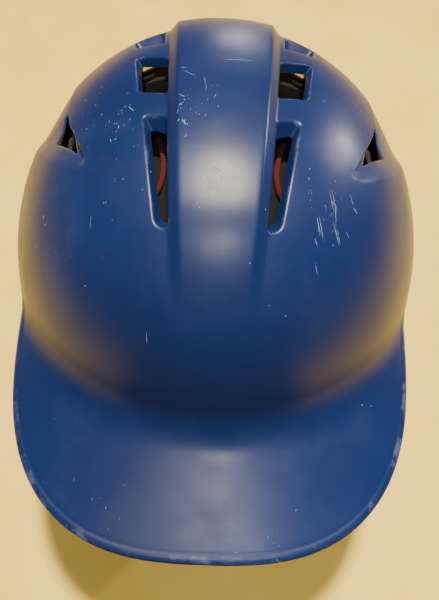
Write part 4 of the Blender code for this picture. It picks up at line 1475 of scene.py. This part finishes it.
def scattered(centre, spread, count, length, width, angle, seed):
    """Give random short scratches about a map point."""
    rng = np.random.default_rng(seed)
    strokes = []
    for _ in range(count):
        at = np.array(centre) + rng.normal(0, 1, 2) * np.array(spread)
        turn = math.radians(angle + rng.normal(0, 22))
        reach = length * rng.uniform(0.4, 1.2) / 2 * np.array([math.sin(turn), math.cos(turn)])
        strokes.append((at - reach, at + reach, width * rng.uniform(0.6, 1.3), rng.normal(0, 0.1)))
    return strokes


def build_scuffs(look):
    """Lay the deeper scratches and chips on the shell as thin slivers."""
    strokes = [(from_plan(*start), from_plan(*end), width, bow)
               for start, end, width, bow in SCRATCHES]
    for centre, *rest in SCUFF_PATCHES:
        strokes += scattered(from_plan(*centre), *rest)
    for patch in BILL_PATCHES:
        strokes += scattered(*patch)
    points, faces, start = [], [], 0
    for stroke in strokes:
        part_points, part_faces = sliver(*stroke)
        points.append(part_points)
        faces += [tuple(index + start for index in face) for face in part_faces]
        start += len(part_points)
    item = make_object("shell_scratches", np.vstack(points), faces, look, smooth=False)
    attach(item, "helmet")


# ------------------------------------------------------------------ stage

def stage_sheet(name, points, faces, look):
    """Add a sheet that isn't part of the helmet, in metres."""
    mesh = bpy.data.meshes.new(name)
    mesh.from_pydata(points, [], faces)
    mesh.materials.append(look)
    item = bpy.data.objects.new(name, mesh)
    bpy.context.scene.collection.objects.link(item)
    return item


def build_sheets():
    """Add the floor, and a dark flag before the bill that only reflections show."""
    half = FLOOR_SIZE / 2
    corners = [(-half, -half, 0.0), (half, -half, 0.0), (half, half, 0.0), (-half, half, 0.0)]
    stage_sheet("floor", corners, [(0, 1, 2, 3)], floor_material())
    felt, _, shader = new_material("black_felt", 1.0, specular=0.0)
    shader.inputs["Base Color"].default_value = (0.004, 0.004, 0.005, 1.0)
    near, far, top = FLAG_NEAR, FLAG_FAR, FLAG_TOP
    points = [(-near[0], near[1], FLAG_LIFT), (near[0], near[1], FLAG_LIFT),
              (far[0], far[1], FLAG_LIFT), (-far[0], far[1], FLAG_LIFT),
              (far[0], far[1], top), (-far[0], far[1], top)]
    flag = stage_sheet("flag", points, [(0, 1, 2, 3), (3, 2, 4, 5)], felt)
    flag.visible_camera = False
    flag.visible_shadow = False
    flag.visible_diffuse = False


def build_lights():
    """Add the dim surroundings and the lamps, all aimed at the helmet's middle."""
    world = bpy.data.worlds.new("studio")
    world.use_nodes = True
    back = world.node_tree.nodes["Background"]
    back.inputs["Color"].default_value = (1.0, 0.90, 0.74, 1.0)
    back.inputs["Strength"].default_value = 0.05
    bpy.context.scene.world = world

    for name, (spot, width, power, colour) in LAMPS.items():
        data = bpy.data.lights.new(name, "AREA")
        data.energy = power
        data.size = width
        data.color = colour
        lamp = bpy.data.objects.new(name, data)
        lamp.location = spot
        aim = Vector(LAMP_TARGET) - Vector(spot)
        lamp.rotation_euler = aim.to_track_quat("-Z", "Y").to_euler()
        bpy.context.scene.collection.objects.link(lamp)


def build_camera():
    """Add the camera at the photograph's angle."""
    data = bpy.data.cameras.new("camera")
    data.lens = CAMERA_LENS
    data.sensor_width = 36.0
    data.clip_start = 0.01
    camera = bpy.data.objects.new("camera", data)
    down, turn, roll = (math.radians(v) for v in (CAMERA_DOWN, CAMERA_TURN, CAMERA_ROLL))
    ahead = Vector((math.sin(turn) * math.cos(down), math.cos(turn) * math.cos(down),
                    -math.sin(down)))
    across = ahead.cross(Vector((0, 0, 1))).normalized()
    up = across.cross(ahead)
    right = across * math.cos(roll) + up * math.sin(roll)
    upward = up * math.cos(roll) - across * math.sin(roll)
    matrix = Matrix((right, upward, -ahead)).transposed().to_4x4()
    matrix.translation = Vector(CAMERA_PLACE) * MM
    camera.matrix_world = matrix
    bpy.context.scene.collection.objects.link(camera)
    bpy.context.scene.camera = camera


def main():
    """Build everything in order."""
    build_sheets()
    build_lights()
    build_camera()
    build_shell(shell_material())
    build_scuffs(scuff_material())
    build_liners(foam_material("yellow_foam", (0.62, 0.44, 0.015), (0.85, 0.66, 0.04)),
                 foam_material("charcoal_foam", (0.012, 0.012, 0.013), (0.035, 0.035, 0.037)))
    # painted shade: the pads' charcoal knit is darkened further, to near black, to stand for the
    # shade inside the helmet
    build_pads(fabric_material("charcoal_knit_and_painted_shade", (0.003, 0.003, 0.002), (0.015, 0.014, 0.009), 0.06),
               fabric_material("dark_thread", (0.02, 0.02, 0.018), (0.09, 0.085, 0.07), 0.1))
    # painted shade: the red edging is deepened to stand for the shade inside the helmet
    build_piping(fabric_material("red_edging_and_painted_shade", (0.05, 0.003, 0.002), (0.13, 0.008, 0.005), 0.05))
    # painted shade: the hook fabric is darkened so that its lamp-lit faces read as shaded
    build_tabs(fabric_material("hook_fabric_and_painted_shade", (0.003, 0.003, 0.003), (0.012, 0.012, 0.012), 0.03))


main()
